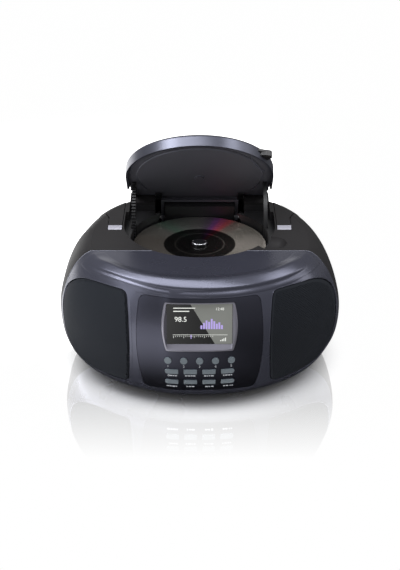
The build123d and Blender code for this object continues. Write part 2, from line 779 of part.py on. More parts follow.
def make_turntable_hub():
    """The hub that the disc clips on, with its spindle and three balls."""
    body = upright(0, disc_y, hub_flange, disc_z - 2.0, disc_z)
    body = body + upright(0, disc_y, 5.0, disc_z - 7.0, disc_z)
    body = body + upright(0, disc_y, hub_radius, disc_z, disc_z + 2.6)
    dome_radius = 11.0
    dome = Pos(0, disc_y, disc_z + 4.6 - dome_radius) * Sphere(dome_radius)
    body = body + (dome & upright(0, disc_y, hub_radius, disc_z, disc_z + 10))
    body = body + upright(0, disc_y, shaft_radius, chassis_low_z - 4.0, disc_z)
    for k in range(3):
        turn = math.radians(30 + 120 * k)
        pocket, ball = [
            Pos(r * math.cos(turn), disc_y + r * math.sin(turn), disc_z + 2.4) for r in (6.95, 6.5)]
        body = body - pocket * Sphere(1.2) + ball * Sphere(0.9)
    return body


def make_spindle_motor():
    body = upright(0, disc_y, 10.0, 71.0, chassis_low_z)
    body = body + upright(0, disc_y, 4.0, 69.0, 71.0)
    return body - upright(0, disc_y, shaft_radius + running_gap, chassis_low_z - 4.5, 100)


def make_chassis():
    """The player's plate: slots for the lens, lugs for the rails."""
    body = block(-54, 58, -40, 57, chassis_low_z, chassis_high_z)
    body = body + block(57, 76, disc_y - 17, disc_y + 15, chassis_low_z, chassis_high_z)
    body = body - upright(0, disc_y, 3.5, 80, 90)
    body = body - block(lens_start - 5, lens_end + lens_radius + 1, disc_y - 5.5, disc_y + 5.5, 80, 90)
    for y in (disc_y - rail_half, disc_y + rail_half):
        for x in (7.6, 72.5):
            lug = block(x, x + 2.4, y - 2.6, y + 2.6, rail_z - 3, chassis_low_z)
            body = body + lug
        body = body - rod(rail_radius, (0, y, rail_z), (80, y, rail_z))
    for x, y in damper_spots:
        body = body - upright(x, y, 3.0, 80, 90)
    return body - notch_for_arms()


def notch_for_arms():
    return block(59.5, 80, disc_y + 15.5, 60, 80, 90)


damper_spots = [(-42, -26), (42, -26), (-42, 44), (40, 44)]


def make_chassis_dampers():
    """Rubber rings between the player's plate and the well."""
    body = Part()
    for x, y in damper_spots:
        ring = upright(x, y, 5.5, chassis_high_z, floor_z - well_wall)
        ring = ring + upright(x, y, 3.0, chassis_low_z - 1.0, chassis_high_z)
        ring = ring - upright(x, y, 1.6, 80, 95)
        body = body + ring
    return body


def make_sled_rails():
    body = Part()
    for y in (disc_y - rail_half, disc_y + rail_half):
        body = body + rod(rail_radius, (7.6, y, rail_z), (74.9, y, rail_z))
    return body


def make_laser_sled():
    """The carriage for the lens, with a rack along its front."""
    body = block(lens_start - 9, lens_start + 13, disc_y - sled_half_y, disc_y + sled_half_y,
                 sled_low_z, sled_high_z)
    for y in (disc_y - rail_half, disc_y + rail_half):
        body = body - rod(rail_radius + running_gap, (0, y, rail_z), (90, y, rail_z))
    body = body - upright(lens_start, disc_y, lens_radius, 70, 90)
    pitch_y = disc_y - sled_half_y - 1.6
    back = pitch_y + 1.25 * rack_module
    bar_start, bar_end = lens_start - 9, lens_start + 31.5
    body = body + block(bar_start, bar_end, back, disc_y - sled_half_y + 0.8, 77.0, 80.5)
    pitch = math.pi * rack_module
    half = pitch / 4 - tooth_play / 2
    slope = math.tan(math.radians(20))
    first = math.ceil((bar_start + 1.5 - sled_gear_x) / pitch)
    last = math.floor((bar_end - 1.5 - sled_gear_x) / pitch)
    for k in range(first, last + 1):
        x = sled_gear_x + k * pitch
        wide, narrow = half + 1.25 * rack_module * slope, half - rack_module * slope
        tooth = polygon((x - wide, back + 0.2), (x - wide, back), (x - narrow, pitch_y - rack_module),
                        (x + narrow, pitch_y - rack_module), (x + wide, back), (x + wide, back + 0.2))
        body = body + along_z(tooth, 77.0, 80.5)
    return body


def make_objective_lens():
    body = upright(lens_start, disc_y, lens_radius, sled_low_z, lens_top_z - 0.6)
    dome = Pos(lens_start, disc_y, lens_top_z - 4.5) * Sphere(4.5)
    return body + (dome & upright(lens_start, disc_y, 2.6, lens_top_z - 2, lens_top_z + 1))


sled_gear_radius = rack_module * sled_gear_teeth / 2
sled_gear_y = disc_y - sled_half_y - 1.6 - sled_gear_radius


def make_sled_gear():
    """Drives the sled; a gap between teeth faces the rack at rest."""
    gear = along_z(gear_face(sled_gear_teeth, rack_module, 90 + 180 / sled_gear_teeth), 76.6, 80.9)
    gear = Pos(sled_gear_x, sled_gear_y, 0) * gear
    return gear - upright(sled_gear_x, sled_gear_y, shaft_radius + running_gap, 70, 90)


def make_sled_motor():
    """The sled's motor, hung from the player's plate on two posts."""
    body = upright(sled_gear_x, sled_gear_y, 7.0, 58, 74)
    body = body + block(sled_gear_x - 10.5, sled_gear_x + 10.5, sled_gear_y - 6.5, sled_gear_y + 6, 72.5, 74)
    for x in (sled_gear_x - 8.8, sled_gear_x + 8.8):
        body = body + upright(x, sled_gear_y - 4.5, 1.3, 73, chassis_low_z)
    return body + upright(sled_gear_x, sled_gear_y, shaft_radius, 73, 82)


# Front pieces

def make_control_panel():
    """The middle panel, with holes for the display and thirteen buttons."""
    body = (outer_form - inner_form) & along_y(panel_outline(-panel_fit), -130, -60)
    for side in (-1, 1):
        for z in (23.0, 54.5):
            post = rod(2.2, (side * 33.5, board_front_y, z), (side * 33.5, -125, z)) & form(1.2)
            body = body + post
    body = body - on_display(display_outline(0.2), -12, 30)
    for kind, x, z in buttons.values():
        body = body - along_y(button_face(kind, x, z, button_gap), -130, -108)
    return body


def make_display_bezel():
    """The bevelled frame that leads from the panel down to the glass."""
    body = on_display(display_outline(), 0, 14) & form(0.25)
    inner = display_outline(-1.0)
    window = Rectangle(2 * glass_half_x, 2 * glass_half_y)
    window = fillet(window.vertices(), 1.0)
    bevel_depth = 5.0
    low = (display_plane.offset(-0.01) * window).faces()[0].outer_wire()
    high = (display_plane.offset(bevel_depth) * inner).faces()[0].outer_wire()
    body = body - Solid.make_loft([low, high], ruled=True)
    return body - on_display(inner, bevel_depth - 0.01, 20)


def make_display_window():
    face = Pos(0, -0.4) * Rectangle(55.6, 37.2)
    return on_display(face, -1.6, 1.6)


def make_display_module():
    face = Pos(0, -0.4) * Rectangle(55.0, 36.6)
    body = on_display(face, -5.5, 3.9)
    return body + on_display(Pos(0, -8) * Rectangle(20, 6), -7.5, 2.2)


def make_grille(side):
    """A thin curved sheet in the front moulding's pocket."""
    sheet = form(grille_inset) - form(grille_inset + grille_thickness)
    sheet = sheet & along_y(grille_outline(-grille_fit), -130, seam_y - 3.6)
    return sheet if side > 0 else mirror(sheet, about=Plane.YZ)


def make_speaker_baskets():
    """The loudspeakers' frames, which sit on the front moulding's rings."""
    start = speaker_set_back
    body = speaker_rod(speaker_radius, start, start + 2.0)
    cup = Plane(origin=speaker_point(start + 2.0), z_dir=-speaker_out) * Cone(
        30.5, 21.0, 13.0, align=(Align.CENTER, Align.CENTER, Align.MIN))
    inner = Plane(origin=speaker_point(start - 0.01), z_dir=-speaker_out) * Cone(
        29.4, 19.4, 13.5, align=(Align.CENTER, Align.CENTER, Align.MIN))
    body = body + cup - inner
    for k in range(4):
        slot = speaker_plane * Rot(0, 0, 45 + 90 * k) * Pos(26, 0, start + 8.5) * Box(16, 22, 7)
        body = body - slot
    return both_sides(body)


speaker_plane = Plane(origin=tuple(speaker_face), x_dir=(0, 0, 1), z_dir=tuple(-speaker_out))


def make_speaker_cones():
    """Paper cones with a rolled edge and a dust cap."""
    start = speaker_set_back
    profile = [
        (28.6, start + 0.4), (28.6, start + 1.0), (26.8, start + 1.0), (9.0, start + 11.2),
        (0.0, start + 11.2), (0.0, start + 8.2), (4.5, start + 8.8), (8.0, start + 10.2),
        (23.4, start + 1.6), (24.6, start + 0.2), (27.0, start + 0.0),
    ]
    face = make_face(Polyline(*[(r, -d) for r, d in profile], close=True))
    cone = revolve(Plane.XZ * face, Axis.Z)
    cone = Plane(origin=tuple(speaker_face), z_dir=speaker_out) * cone
    return both_sides(cone)


def make_speaker_magnets():
    start = speaker_set_back + 15.0
    body = speaker_rod(22.5, start, start + 2.0) + speaker_rod(20.0, start + 2.0, start + 9.0)
    return both_sides(body + speaker_rod(22.5, start + 9.0, start + 11.0))


def make_button(kind, x, z):
    """A cap that follows the panel's curve, with a collar and a stem."""
    edge = abs(x) + (round_radius if kind == "round" else bar_width / 2) + 1.2
    collar_y = front_y(edge, z - (2.5 if z < waist_z else 0), wall) + 0.5
    cap = along_y(button_face(kind, x, z), -130, collar_y + 0.5) & form(-button_proud)
    collar = along_y(button_face(kind, x, z, 1.2), collar_y, collar_y + 1.0)
    stem_end = board_front_y - switch_height - button_travel - 0.1
    return cap + collar + rod(1.5, (x, collar_y, z), (x, stem_end, z))


def make_key_board():
    """The circuit board behind the buttons, with one switch for each."""
    body = block(-36.5, 36.5, board_front_y, board_front_y + board_thickness, 20, 57.5)
    for _, x, z in buttons.values():
        body = body + block(x - 2.6, x + 2.6, board_front_y - switch_height + 1.2, board_front_y, z - 2.6, z + 2.6)
        body = body + rod(1.6, (x, board_front_y - switch_height, z), (x, board_front_y, z))
    return body


# Inside

def make_main_board():
    body = block(-58, 48, -37, 50, 10.0, 11.6)
    chips = [(-34, -12, 16, 16, 2.2), (8, 14, 12, 12, 2.0), (-40, 28, 22, 12, 9.0), (30, -20, 10, 10, 13.0)]
    for x, y, w, d, h in chips:
        body = body + block(x - w / 2, x + w / 2, y - d / 2, y + d / 2, 11.6, 11.6 + h)
    for x in (-12, 0, 12, 24):
        body = body + upright(x, 38, 4.0, 11.6, 24.0)
    return body


def make_power_transformer():
    """Laminated core with a bobbin, on the cabinet's floor."""
    floor = waist_z - (waist_z - base_z) / waist_z * (waist_z - wall)
    body = block(54, 90, -16, 16, floor, floor + 28)
    return body + block(60, 84, -21, 21, floor + 5, floor + 23)


def make_battery_cells():
    """Four round cells, two side by side in each row."""
    floor = waist_z - (waist_z - base_z) / waist_z * (waist_z - wall)
    body = Part()
    for row in range(2):
        z = floor + cell_radius + 0.2 + row * (2 * cell_radius + 0.3)
        for x in (-cell_length - 0.5, 2.2):
            cell = rod(cell_radius, (x, cell_y, z), (x + cell_length - 1.7, cell_y, z))
            cell = cell + rod(3.2, (x, cell_y, z), (x - 1.6, cell_y, z))
            body = body + cell
    return body


def make_battery_contacts():
    """Sprung end plates of the battery box."""
    floor = waist_z - (waist_z - base_z) / waist_z * (waist_z - wall)
    body = Part()
    for row in range(2):
        z = floor + cell_radius + 0.2 + row * (2 * cell_radius + 0.3)
        for side in (-1, 1):
            plate = block(battery_half - 0.8, battery_half, cell_y - 9, cell_y + 9, z - 9, z + 9)
            reach = cell_length + 0.8 if side > 0 else cell_length + 2.5
            stud = rod(4.0, (reach, cell_y, z), (battery_half - 0.8, cell_y, z))
            piece = plate + stud
            body = body + (piece if side > 0 else mirror(piece, about=Plane.YZ))
    return body


def make_battery_door():
    """A cover hinged on two ears in the middle of its lower edge."""
    body = (outer_form - form(wall - 0.2)) & block(
        -door_half + door_fit, door_half - door_fit, 95, 200, door_low_z + door_fit, door_high_z - door_fit)
    ear_room = block(door_lug_half + 0.2, door_lug_half + 3.8, 95, 200, 0, door_pivot_z + 3.2)
    body = body - both_sides(ear_room)
    pivot = (door_pivot_y, door_pivot_z)
    lug = rod(door_lug_radius, (-door_lug_half, *pivot), (door_lug_half, *pivot)) & form(0.2)
    pin = rod(door_pin, (-door_lug_half - 3.2, *pivot), (door_lug_half + 3.2, *pivot))
    return body + lug + pin


def make_ac_inlet():
    """The mains inlet: a round-ended cavity with two pins."""
    y = socket_face_y
    body = block(66.2, 83.8, y - 14, y, 34.2, 45.8) + block(64.5, 85.5, y, y + 1.4, 32.5, 47.5)
    cavity = Pos(75, 40) * SlotOverall(15.0, 8.0)
    body = body - along_y(cavity, y - 10, y + 3)
    for x in (71.3, 78.7):
        body = body + rod(1.2, (x, y - 10.5, 40), (x, y - 1.5, 40))
    return body


def make_jack_sockets():
    """Two round sockets for 3.5 mm plugs."""
    body = Part()
    y = socket_face_y
    for x in jack_places:
        piece = block(x - 4.8, x + 4.8, y - 15.5, y - 2.0, 35.2, 44.8)
        piece = piece + rod(4.0, (x, y - 2.0, 40), (x, y + 1.0, 40))
        body = body + (piece - rod(jack_bore, (x, y + 1.0 - jack_depth, 40), (x, y + 1.5, 40)))
    return body


def make_rubber_feet():
    body = Part()
    for y in (-60.0, 50.0):
        foot = upright(65.0, y, foot_radius, 0, base_z)
        foot = chamfer(foot.edges().group_by(Axis.Z)[0], 0.8)
        body = body + both_sides(foot)
    return body


def make_cabinet_screws():
    """Long screws that hold the two mouldings together."""
    body = Part()
    for x, z in screw_places:
        screw = rod(screw_radius, (x, seam_y - 10, z), (x, seam_y + 4, z))
        screw = screw + rod(3.0, (x, seam_y + 4, z), (x, seam_y + 6.4, z))
        cross = block(x - 1.8, x + 1.8, seam_y + 5.4, seam_y + 7, z - 0.4, z + 0.4)
        cross = cross + block(x - 0.4, x + 0.4, seam_y + 5.4, seam_y + 7, z - 1.8, z + 1.8)
        body = body + both_sides(screw - cross)
    return body


# Handle and aerial

def make_handle():
    """Two arms and a bar that lie round the back of the deck when folded."""
    proud = form(-handle_proud)
    body = along_z(handle_outline(), handle_low_z, 130) & proud
    body = body + handle_end(handle_end_radius, 0.0)
    pins = rod(handle_pin, (handle_outer - 3, handle_pivot_y, handle_pivot_z),
               (handle_outer + 2.8, handle_pivot_y, handle_pivot_z))
    body = body + both_sides(pins)
    return body - cap_ring(0.0)


def cap_ring(trim):
    """The bright inlays on the front of the handle's ends."""
    y, z, r = handle_pivot_y, handle_pivot_z, handle_end_radius

    def at(angle, radius):
        turn = math.radians(angle)
        return (y + radius * math.cos(turn), z + radius * math.sin(turn))

    low, high = 92.0 + trim, 150.0 - trim
    edges = [
        ThreePointArc(at(low, r + 0.01), at(121, r + 0.01), at(high, r + 0.01)),
        Line(at(high, r + 0.01), at(high, r - 1.2)),
        ThreePointArc(at(high, r - 1.2), at(121, r - 1.2), at(low, r - 1.2)),
        Line(at(low, r - 1.2), at(low, r + 0.01)),
    ]
    return both_sides(along_x(make_face(edges), handle_inner - 0.01, handle_outer + 0.01))


def make_handle_caps():
    return cap_ring(0.0) & handle_end(handle_end_radius, 0.0)


def make_aerial_base():
    """The aerial's swivel: a stub in the pillar and a fork for the tilt."""
    x, y, z = aerial_x, aerial_y, aerial_z
    body = rod(6.0, (x, 106.8, z), (x, 109.4, z)) + rod(2.0, (x, 99.7, z), (x, 107, z))
    fork = block(x - 3.6, x + 3.6, 109.0, y + 1.0, z - 4.4, z + 4.4)
    fork = fork + rod(3.6, (x, y, z - 4.4), (x, y, z + 4.4))
    fork = fork - block(x - 8, x + 8, 109.4, y + 8, z - 2.5, z + 2.5)
    return body + fork - rod(1.1 + running_gap, (x, y, z - 6), (x, y, z + 6))


def make_aerial_lower():
    """The widest section, hinged in the fork."""
    x, y, z = aerial_x, aerial_y, aerial_z
    outer = aerial_radii[0]
    start = x - 6.0
    body = rod(outer, (start, y, z), (start - aerial_length, y, z))
    bore = aerial_radii[1] + 0.08
    body = body - rod(bore, (start - 2.0, y, z), (start - aerial_length - 1, y, z))
    root = rod(3.6, (x, y, z - 2.3), (x, y, z + 2.3)) + block(start - 0.5, x, y - 2.2, y + 2.2, z - 2.3, z + 2.3)
    return body + root + rod(1.1, (x, y, z - 4.2), (x, y, z + 4.2))


def make_aerial_middle():
    x, y, z = aerial_x - 8.5, aerial_y, aerial_z
    body = rod(aerial_radii[1], (x, y, z), (x - aerial_length, y, z))
    return body - rod(aerial_radii[2] + 0.08, (x - 2.0, y, z), (x - aerial_length - 1, y, z))


def make_aerial_upper():
    x, y, z = aerial_x - 11.0, aerial_y, aerial_z
    end = x - aerial_length
    body = rod(aerial_radii[2], (x, y, z), (end, y, z))
    tip = rod(3.2, (end, y, z), (end - 5.0, y, z))
    return body + fillet(tip.edges().sort_by(Axis.X)[0], 1.6)


pieces = {
    "front_cabinet": make_front_cabinet,
    "rear_cabinet": make_rear_cabinet,
    "disc_well": make_disc_well,
    "hinge_bracket": make_hinge_bracket,
    "control_panel": make_control_panel,
    "display_bezel": make_display_bezel,
    "display_window": make_display_window,
    "display_module": make_display_module,
    "left_grille": lambda: make_grille(-1),
    "right_grille": lambda: make_grille(1),
    "speaker_baskets": make_speaker_baskets,
    "speaker_cones": make_speaker_cones,
    "speaker_magnets": make_speaker_magnets,
    "key_board": make_key_board,
    "main_board": make_main_board,
    "power_transformer": make_power_transformer,
    "battery_door": make_battery_door,
    "battery_cells": make_battery_cells,
    "battery_contacts": make_battery_contacts,
    "ac_inlet": make_ac_inlet,
    "jack_sockets": make_jack_sockets,
    "rubber_feet": make_rubber_feet,
    "cabinet_screws": make_cabinet_screws,
    "player_chassis": make_chassis,
    "chassis_dampers": make_chassis_dampers,
    "spindle_motor": make_spindle_motor,
    "turntable_hub": make_turntable_hub,
    "disc": make_disc,
    "laser_sled": make_laser_sled,
    "objective_lens": make_objective_lens,
    "sled_rails": make_sled_rails,
    "sled_gear": make_sled_gear,
    "sled_motor": make_sled_motor,
    "lid_shell": make_lid_shell,
    "lid_liner": make_lid_liner,
    "lid_rack_arm": make_lid_rack_arm,
    "lid_guide_arm": make_lid_guide_arm,
    "lid_tab": make_lid_tab,
    "hinge_pins": make_hinge_pins,
    "damper_gear": make_damper_gear,
    "damper_housing": make_damper_housing,
    "handle": make_handle,
    "handle_caps": make_handle_caps,
    "aerial_base": make_aerial_base,
    "aerial_lower": make_aerial_lower,
    "aerial_middle": make_aerial_middle,
    "aerial_upper": make_aerial_upper,
}

for node, make in pieces.items():
    export_step(make(), f"parts/{node}.step")
for node, (kind, x, z) in buttons.items():
    export_step(make_button(kind, x, z), f"parts/{node}.step")
print(f"{len(pieces) + len(buttons)} pieces, sled gear radius {sled_gear_radius:.2f}")
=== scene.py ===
# %% [markdown]
# # A portable disc radio with its lid open
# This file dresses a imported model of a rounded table-top radio. The model brings every solid piece in its
# place; here they get their finishes, and the pieces whose look depends on fine detail, such as the punched
# grilles and the screen, are made again in finer meshes.

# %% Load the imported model
import math

import bmesh
import bpy
import numpy as np
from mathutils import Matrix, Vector
from mathutils.bvhtree import BVHTree


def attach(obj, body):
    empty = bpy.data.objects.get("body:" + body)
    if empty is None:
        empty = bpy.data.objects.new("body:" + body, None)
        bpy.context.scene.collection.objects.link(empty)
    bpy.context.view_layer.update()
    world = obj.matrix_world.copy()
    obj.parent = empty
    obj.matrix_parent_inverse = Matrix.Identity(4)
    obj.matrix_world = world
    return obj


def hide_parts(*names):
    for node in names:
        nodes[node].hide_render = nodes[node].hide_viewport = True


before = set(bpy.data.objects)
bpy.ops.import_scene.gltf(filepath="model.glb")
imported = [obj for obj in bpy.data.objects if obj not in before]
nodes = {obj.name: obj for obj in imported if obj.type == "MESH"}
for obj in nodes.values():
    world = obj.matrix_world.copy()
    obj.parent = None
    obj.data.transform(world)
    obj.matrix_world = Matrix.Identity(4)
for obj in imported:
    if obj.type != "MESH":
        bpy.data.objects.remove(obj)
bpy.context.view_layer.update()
MM = 0.001

# %% [markdown]
# ## Camera
# The photograph was taken from in front and about 27 degrees above. The lens and the place come from the
# disc, whose real size is known: its outline fixes how far away the camera stood.

# %% Camera
def add_to_scene(name, data):
    """A new object for a mesh, curve, lamp or camera, linked to the scene."""
    thing = bpy.data.objects.new(name, data)
    bpy.context.scene.collection.objects.link(thing)
    return thing


camera_place, degrees_down = (0, -0.8965, 0.5236), 27.44
lens_mm, sensor_mm, sideways_shift = 69.68, 36, 0.0007

camera_data = bpy.data.cameras.new("camera")
camera_data.lens, camera_data.sensor_width, camera_data.shift_x = lens_mm, sensor_mm, sideways_shift
camera_data.clip_start, camera_data.clip_end = 0.05, 20
camera = add_to_scene("camera", camera_data)
camera.location = camera_place
camera.rotation_euler = (math.radians(90 - degrees_down), 0, 0)
bpy.context.scene.camera = camera
bpy.context.scene.view_settings.view_transform = "Standard"
print(f"camera {Vector(camera_place).length:.2f} m from the origin, looking down {degrees_down} degrees")

# %% [markdown]
# ## Lamps
# Dark plastic shows its form by what it mirrors, so large soft lamps matter more than their strength: one
# above and in front draws the bright line along the lip, and those at the left are stronger, which shades the
# front from left to right.

# %% Lamps
cool_white, colder_white, plain_white = (0.96, 0.97, 1.0), (0.94, 0.96, 1.0), (1, 1, 1)
lamps = (  # name, place, point it faces, width and height in metres, watts, colour
    ("overhead", (-0.2, -0.45, 1.3), (0, -0.05, 0.1), (2.0, 0.4), 22, cool_white),
    ("left_top", (-1.0, -0.1, 1.25), (0, 0, 0.1), (0.6, 0.5), 10, cool_white),
    ("right_top", (1.05, -0.03, 1.25), (0, 0, 0.1), (0.6, 0.5), 7, cool_white),
    ("left_side", (-1.15, -0.8, 0.6), (0, 0, 0.08), (0.6, 0.9), 4.5, colder_white),
    ("right_side", (1.3, 0.1, 0.6), (0, 0, 0.08), (0.4, 0.6), 2.5, plain_white),
    ("behind", (-0.3, 1.3, 0.5), (0, 0, 0.1), (1.0, 0.5), 1.2, plain_white),
)
for name, place, target, (width, height), watts, colour in lamps:
    light = bpy.data.lights.new(name, "AREA")
    light.shape = "RECTANGLE"
    light.size, light.size_y, light.energy, light.color = width, height, watts, colour
    lamp = add_to_scene(name, light)
    lamp.location = place
    lamp.rotation_euler = (Vector(target) - Vector(place)).to_track_quat("-Z", "Y").to_euler()
print(f"{len(lamps)} soft lamps")

# %% [markdown]
# ## World
# A white surround in full strength would wash a dark object out. So the world is plain white only where the
# camera sees it, weaker where a surface mirrors it, and weakest as light on the pieces. The same few helpers
# build this tree and every other one in the file.

# %% Helpers for node trees
def fill(tree, node, values):
    """Set a node's inputs, each to a value or to a link from another node's output."""
    for socket, value in values.items():
        if isinstance(value, bpy.types.NodeSocket):
            tree.links.new(value, node.inputs[socket])
        else:
            node.inputs[socket].default_value = value


def add_node(tree, kind, values=None, **settings):
    """A new node with its settings and inputs."""
    node = tree.nodes.new(kind)
    for setting, value in settings.items():
        setattr(node, setting, value)
    fill(tree, node, values or {})
    return node


def math_node(tree, operation, a, b):
    """The result of a Math node on two inputs, each a socket or a number."""
    return add_node(tree, "ShaderNodeMath", {0: a, 1: b}, operation=operation).outputs[0]


# %% World
mirrored_strength, lighting_strength = 0.3, 0.24

world = bpy.data.worlds.new("studio")
bpy.context.scene.world = world
world.use_nodes = True
tree = world.node_tree
tree.nodes.clear()
rays = add_node(tree, "ShaderNodeLightPath").outputs
seen = math_node(tree, "MAXIMUM", rays["Is Camera Ray"], rays["Is Transmission Ray"])
mirrored = math_node(tree, "MULTIPLY", rays["Is Glossy Ray"], mirrored_strength)
strength = math_node(tree, "MAXIMUM", math_node(tree, "MAXIMUM", seen, mirrored), lighting_strength)
background = add_node(tree, "ShaderNodeBackground", {"Color": (1, 1, 1, 1), "Strength": strength})
add_node(tree, "ShaderNodeOutputWorld", {0: background.outputs[0]})
print(f"world: {mirrored_strength} where it is mirrored, {lighting_strength} as light")

# %% [markdown]
# ## Floor
# The radio stands on a glossy white sheet that fades into the background. A dark contact shade is painted on it
# under the radio, a faint reflection falls in front of it, and it is plain white further out. How far a place is
# from the radio's foot decides all of that, and an oval Mapping measures it. To mirrored rays the sheet is a
# painted glow as well, brighter at the left.

# %% Floor sheet
floor_reach = 3
floor_mesh = bpy.data.meshes.new("floor")
floor_mesh.from_pydata([(x * floor_reach, y * floor_reach, 0) for x, y in ((-1, -1), (1, -1), (1, 1), (-1, 1))],
                       [], [(0, 1, 2, 3)])
floor = add_to_scene("floor", floor_mesh)

foot_middle, foot_radii = (0, -0.02, 0), (0.1, 0.085, 1)
floor_material = bpy.data.materials.new("white_sheet")
floor_material.use_nodes = True
floor_mesh.materials.append(floor_material)
tree = floor_material.node_tree
tree.nodes.clear()
rays = add_node(tree, "ShaderNodeLightPath").outputs
place = add_node(tree, "ShaderNodeTexCoord").outputs["Object"]
axes = add_node(tree, "ShaderNodeSeparateXYZ", {0: place}).outputs
oval = add_node(tree, "ShaderNodeMapping", {"Vector": place, "Location": foot_middle, "Scale": foot_radii},
                vector_type="TEXTURE")
from_foot = add_node(tree, "ShaderNodeVectorMath", {0: oval.outputs[0]}, operation="LENGTH").outputs["Value"]


def ramped(value, start, end, low=0.0, high=1.0, shape="SMOOTHSTEP"):
    """Runs from low to high on the floor while a value runs from start to end."""
    values = {"Value": value, "From Min": start, "From Max": end, "To Min": low, "To Max": high}
    return add_node(tree, "ShaderNodeMapRange", values, interpolation_type=shape).outputs[0]


def mixed(share, first, second):
    """The floor's shader between two others."""
    return add_node(tree, "ShaderNodeMixShader", {0: share, 1: first, 2: second}).outputs[0]


print(f"floor: {2 * floor_reach} m square")

# %% Painted contact shade, and plain white further out
sheet_white, camera_lift = 0.8, 0.42
# Painted shade: the sheet's colour and its lift fall dark near the radio's foot.
painted_contact_shade = ramped(from_foot, 0.84, 1.4, low=0.05)
grey = math_node(tree, "MULTIPLY", painted_contact_shade, sheet_white)
shade = add_node(tree, "ShaderNodeCombineColor", {channel: grey for channel in range(3)})
sheet = add_node(tree, "ShaderNodeBsdfPrincipled",
                 {"Base Color": shade.outputs[0], "Roughness": 0.16, "Specular IOR Level": 0.9})
lift = math_node(tree, "MULTIPLY", math_node(tree, "MULTIPLY", rays["Is Camera Ray"], camera_lift), painted_contact_shade)
glow = add_node(tree, "ShaderNodeEmission", {"Color": (1, 1, 1, 1), "Strength": lift})
near = add_node(tree, "ShaderNodeAddShader", {0: sheet.outputs[0], 1: glow.outputs[0]})
far = add_node(tree, "ShaderNodeEmission")
matt_floor = mixed(ramped(from_foot, 1.0, 1.45), near.outputs[0], far.outputs[0])
print(f"floor: white from {1.45 * foot_radii[0] * 1000:.0f} mm off the middle, measured across")

# %% Reflection, and a painted glow that the radio mirrors
mirror_gain, mirror_share = 3.3, 0.37
mirror = add_node(tree, "ShaderNodeBsdfGlossy", {"Color": (mirror_gain,) * 3 + (1,), "Roughness": 0.03})
nearness = ramped(axes["Y"], -0.185, -0.1, high=mirror_share, shape="LINEAR")
with_mirror = mixed(nearness, matt_floor, mirror.outputs[0])
# Painted light: to glossy rays the floor glows, brightest at the left, and the radio's front mirrors it, though it
# is no lamp.
lit_side = ramped(axes["X"], 0.14, -0.26, low=0.1, high=2.5, shape="SMOOTHERSTEP")
open_floor = ramped(from_foot, 1.15, 2.3, low=0.02)
painted_mirror_glow = add_node(tree, "ShaderNodeEmission",
                    {"Strength": math_node(tree, "MULTIPLY", lit_side, open_floor)})
add_node(tree, "ShaderNodeOutputMaterial", {0: mixed(rays["Is Glossy Ray"], with_mirror, painted_mirror_glow.outputs[0])})
print(f"floor: {len(tree.nodes)} nodes")

# %% [markdown]
# ## Moulded grain
# Nearly every piece here is moulded plastic. Seen close, its skin is a fine grain that scatters light, with
# slow changes in gloss where hands and the mould have polished it. The same effect is used everywhere, so it
# is a node group that gives a height for the bump, a roughness and a colour.

# %% Shared grain group
grain_group = bpy.data.node_groups.new("moulded_grain", "ShaderNodeTree")
for name, kind, value in (("Grain per metre", "NodeSocketFloat", 2500), ("Roughness", "NodeSocketFloat", 0.4),
                          ("Polish", "NodeSocketFloat", 0.08), ("Colour", "NodeSocketColor", (0.03, 0.03, 0.03, 1)),
                          ("Fade", "NodeSocketFloat", 0.15)):
    grain_group.interface.new_socket(name=name, in_out="INPUT", socket_type=kind).default_value = value
for name, kind in (("Height", "NodeSocketFloat"), ("Roughness", "NodeSocketFloat"), ("Colour", "NodeSocketColor")):
    grain_group.interface.new_socket(name=name, in_out="OUTPUT", socket_type=kind)
grain_in = add_node(grain_group, "NodeGroupInput")
where = add_node(grain_group, "ShaderNodeTexCoord").outputs["Object"]
fine = add_node(grain_group, "ShaderNodeTexNoise",
                {"Vector": where, "Scale": grain_in.outputs["Grain per metre"], "Detail": 2})
slow = add_node(grain_group, "ShaderNodeTexNoise", {"Vector": where, "Scale": 22, "Detail": 4})
drift = math_node(grain_group, "SUBTRACT", slow.outputs[0], 0.5)
gloss_shift = math_node(grain_group, "MULTIPLY", drift, grain_in.outputs["Polish"])
tint = math_node(grain_group, "MULTIPLY", drift, grain_in.outputs["Fade"])
tinted = add_node(grain_group, "ShaderNodeVectorMath",
                  {0: grain_in.outputs["Colour"], "Scale": math_node(grain_group, "ADD", tint, 1.0)},
                  operation="SCALE")
add_node(grain_group, "NodeGroupOutput",
         {"Height": fine.outputs[0], "Colour": tinted.outputs[0],
          "Roughness": math_node(grain_group, "ADD", gloss_shift, grain_in.outputs["Roughness"])})
print(f"grain group: {len(grain_group.nodes)} nodes")

# %% [markdown]
# ## Finishes
# The front moulding is sprayed in a dark blue-grey lacquer with fine metal flake, which is why its lip
# catches such a bright line. The deck, the handle and the back are bare, slightly brown black plastic. Each
# finish is one Principled shader whose colour, gloss and bump come from the grain group.

# %% One finish
def finish(name, colour, roughness, grain=2500, bump=0.05, bump_mm=0.02, metallic=0.0, coat=0.0,
           coat_roughness=0.2, specular=0.5, polish=0.08, fade=0.15):
    """A moulded or metal finish with its grain."""
    material = bpy.data.materials.new(name)
    material.use_nodes = True
    tree = material.node_tree
    skin = add_node(tree, "ShaderNodeGroup", node_tree=grain_group)
    fill(tree, skin, {"Grain per metre": grain, "Roughness": roughness, "Polish": polish, "Colour": (*colour, 1),
                      "Fade": fade})
    height = add_node(tree, "ShaderNodeBump",
                      {"Strength": bump, "Distance": bump_mm * MM, "Height": skin.outputs["Height"]})
    fill(tree, tree.nodes["Principled BSDF"],
         {"Base Color": skin.outputs["Colour"], "Roughness": skin.outputs["Roughness"],
          "Normal": height.outputs[0], "Metallic": metallic, "Coat Weight": coat,
          "Coat Roughness": coat_roughness, "Specular IOR Level": specular})
    return material


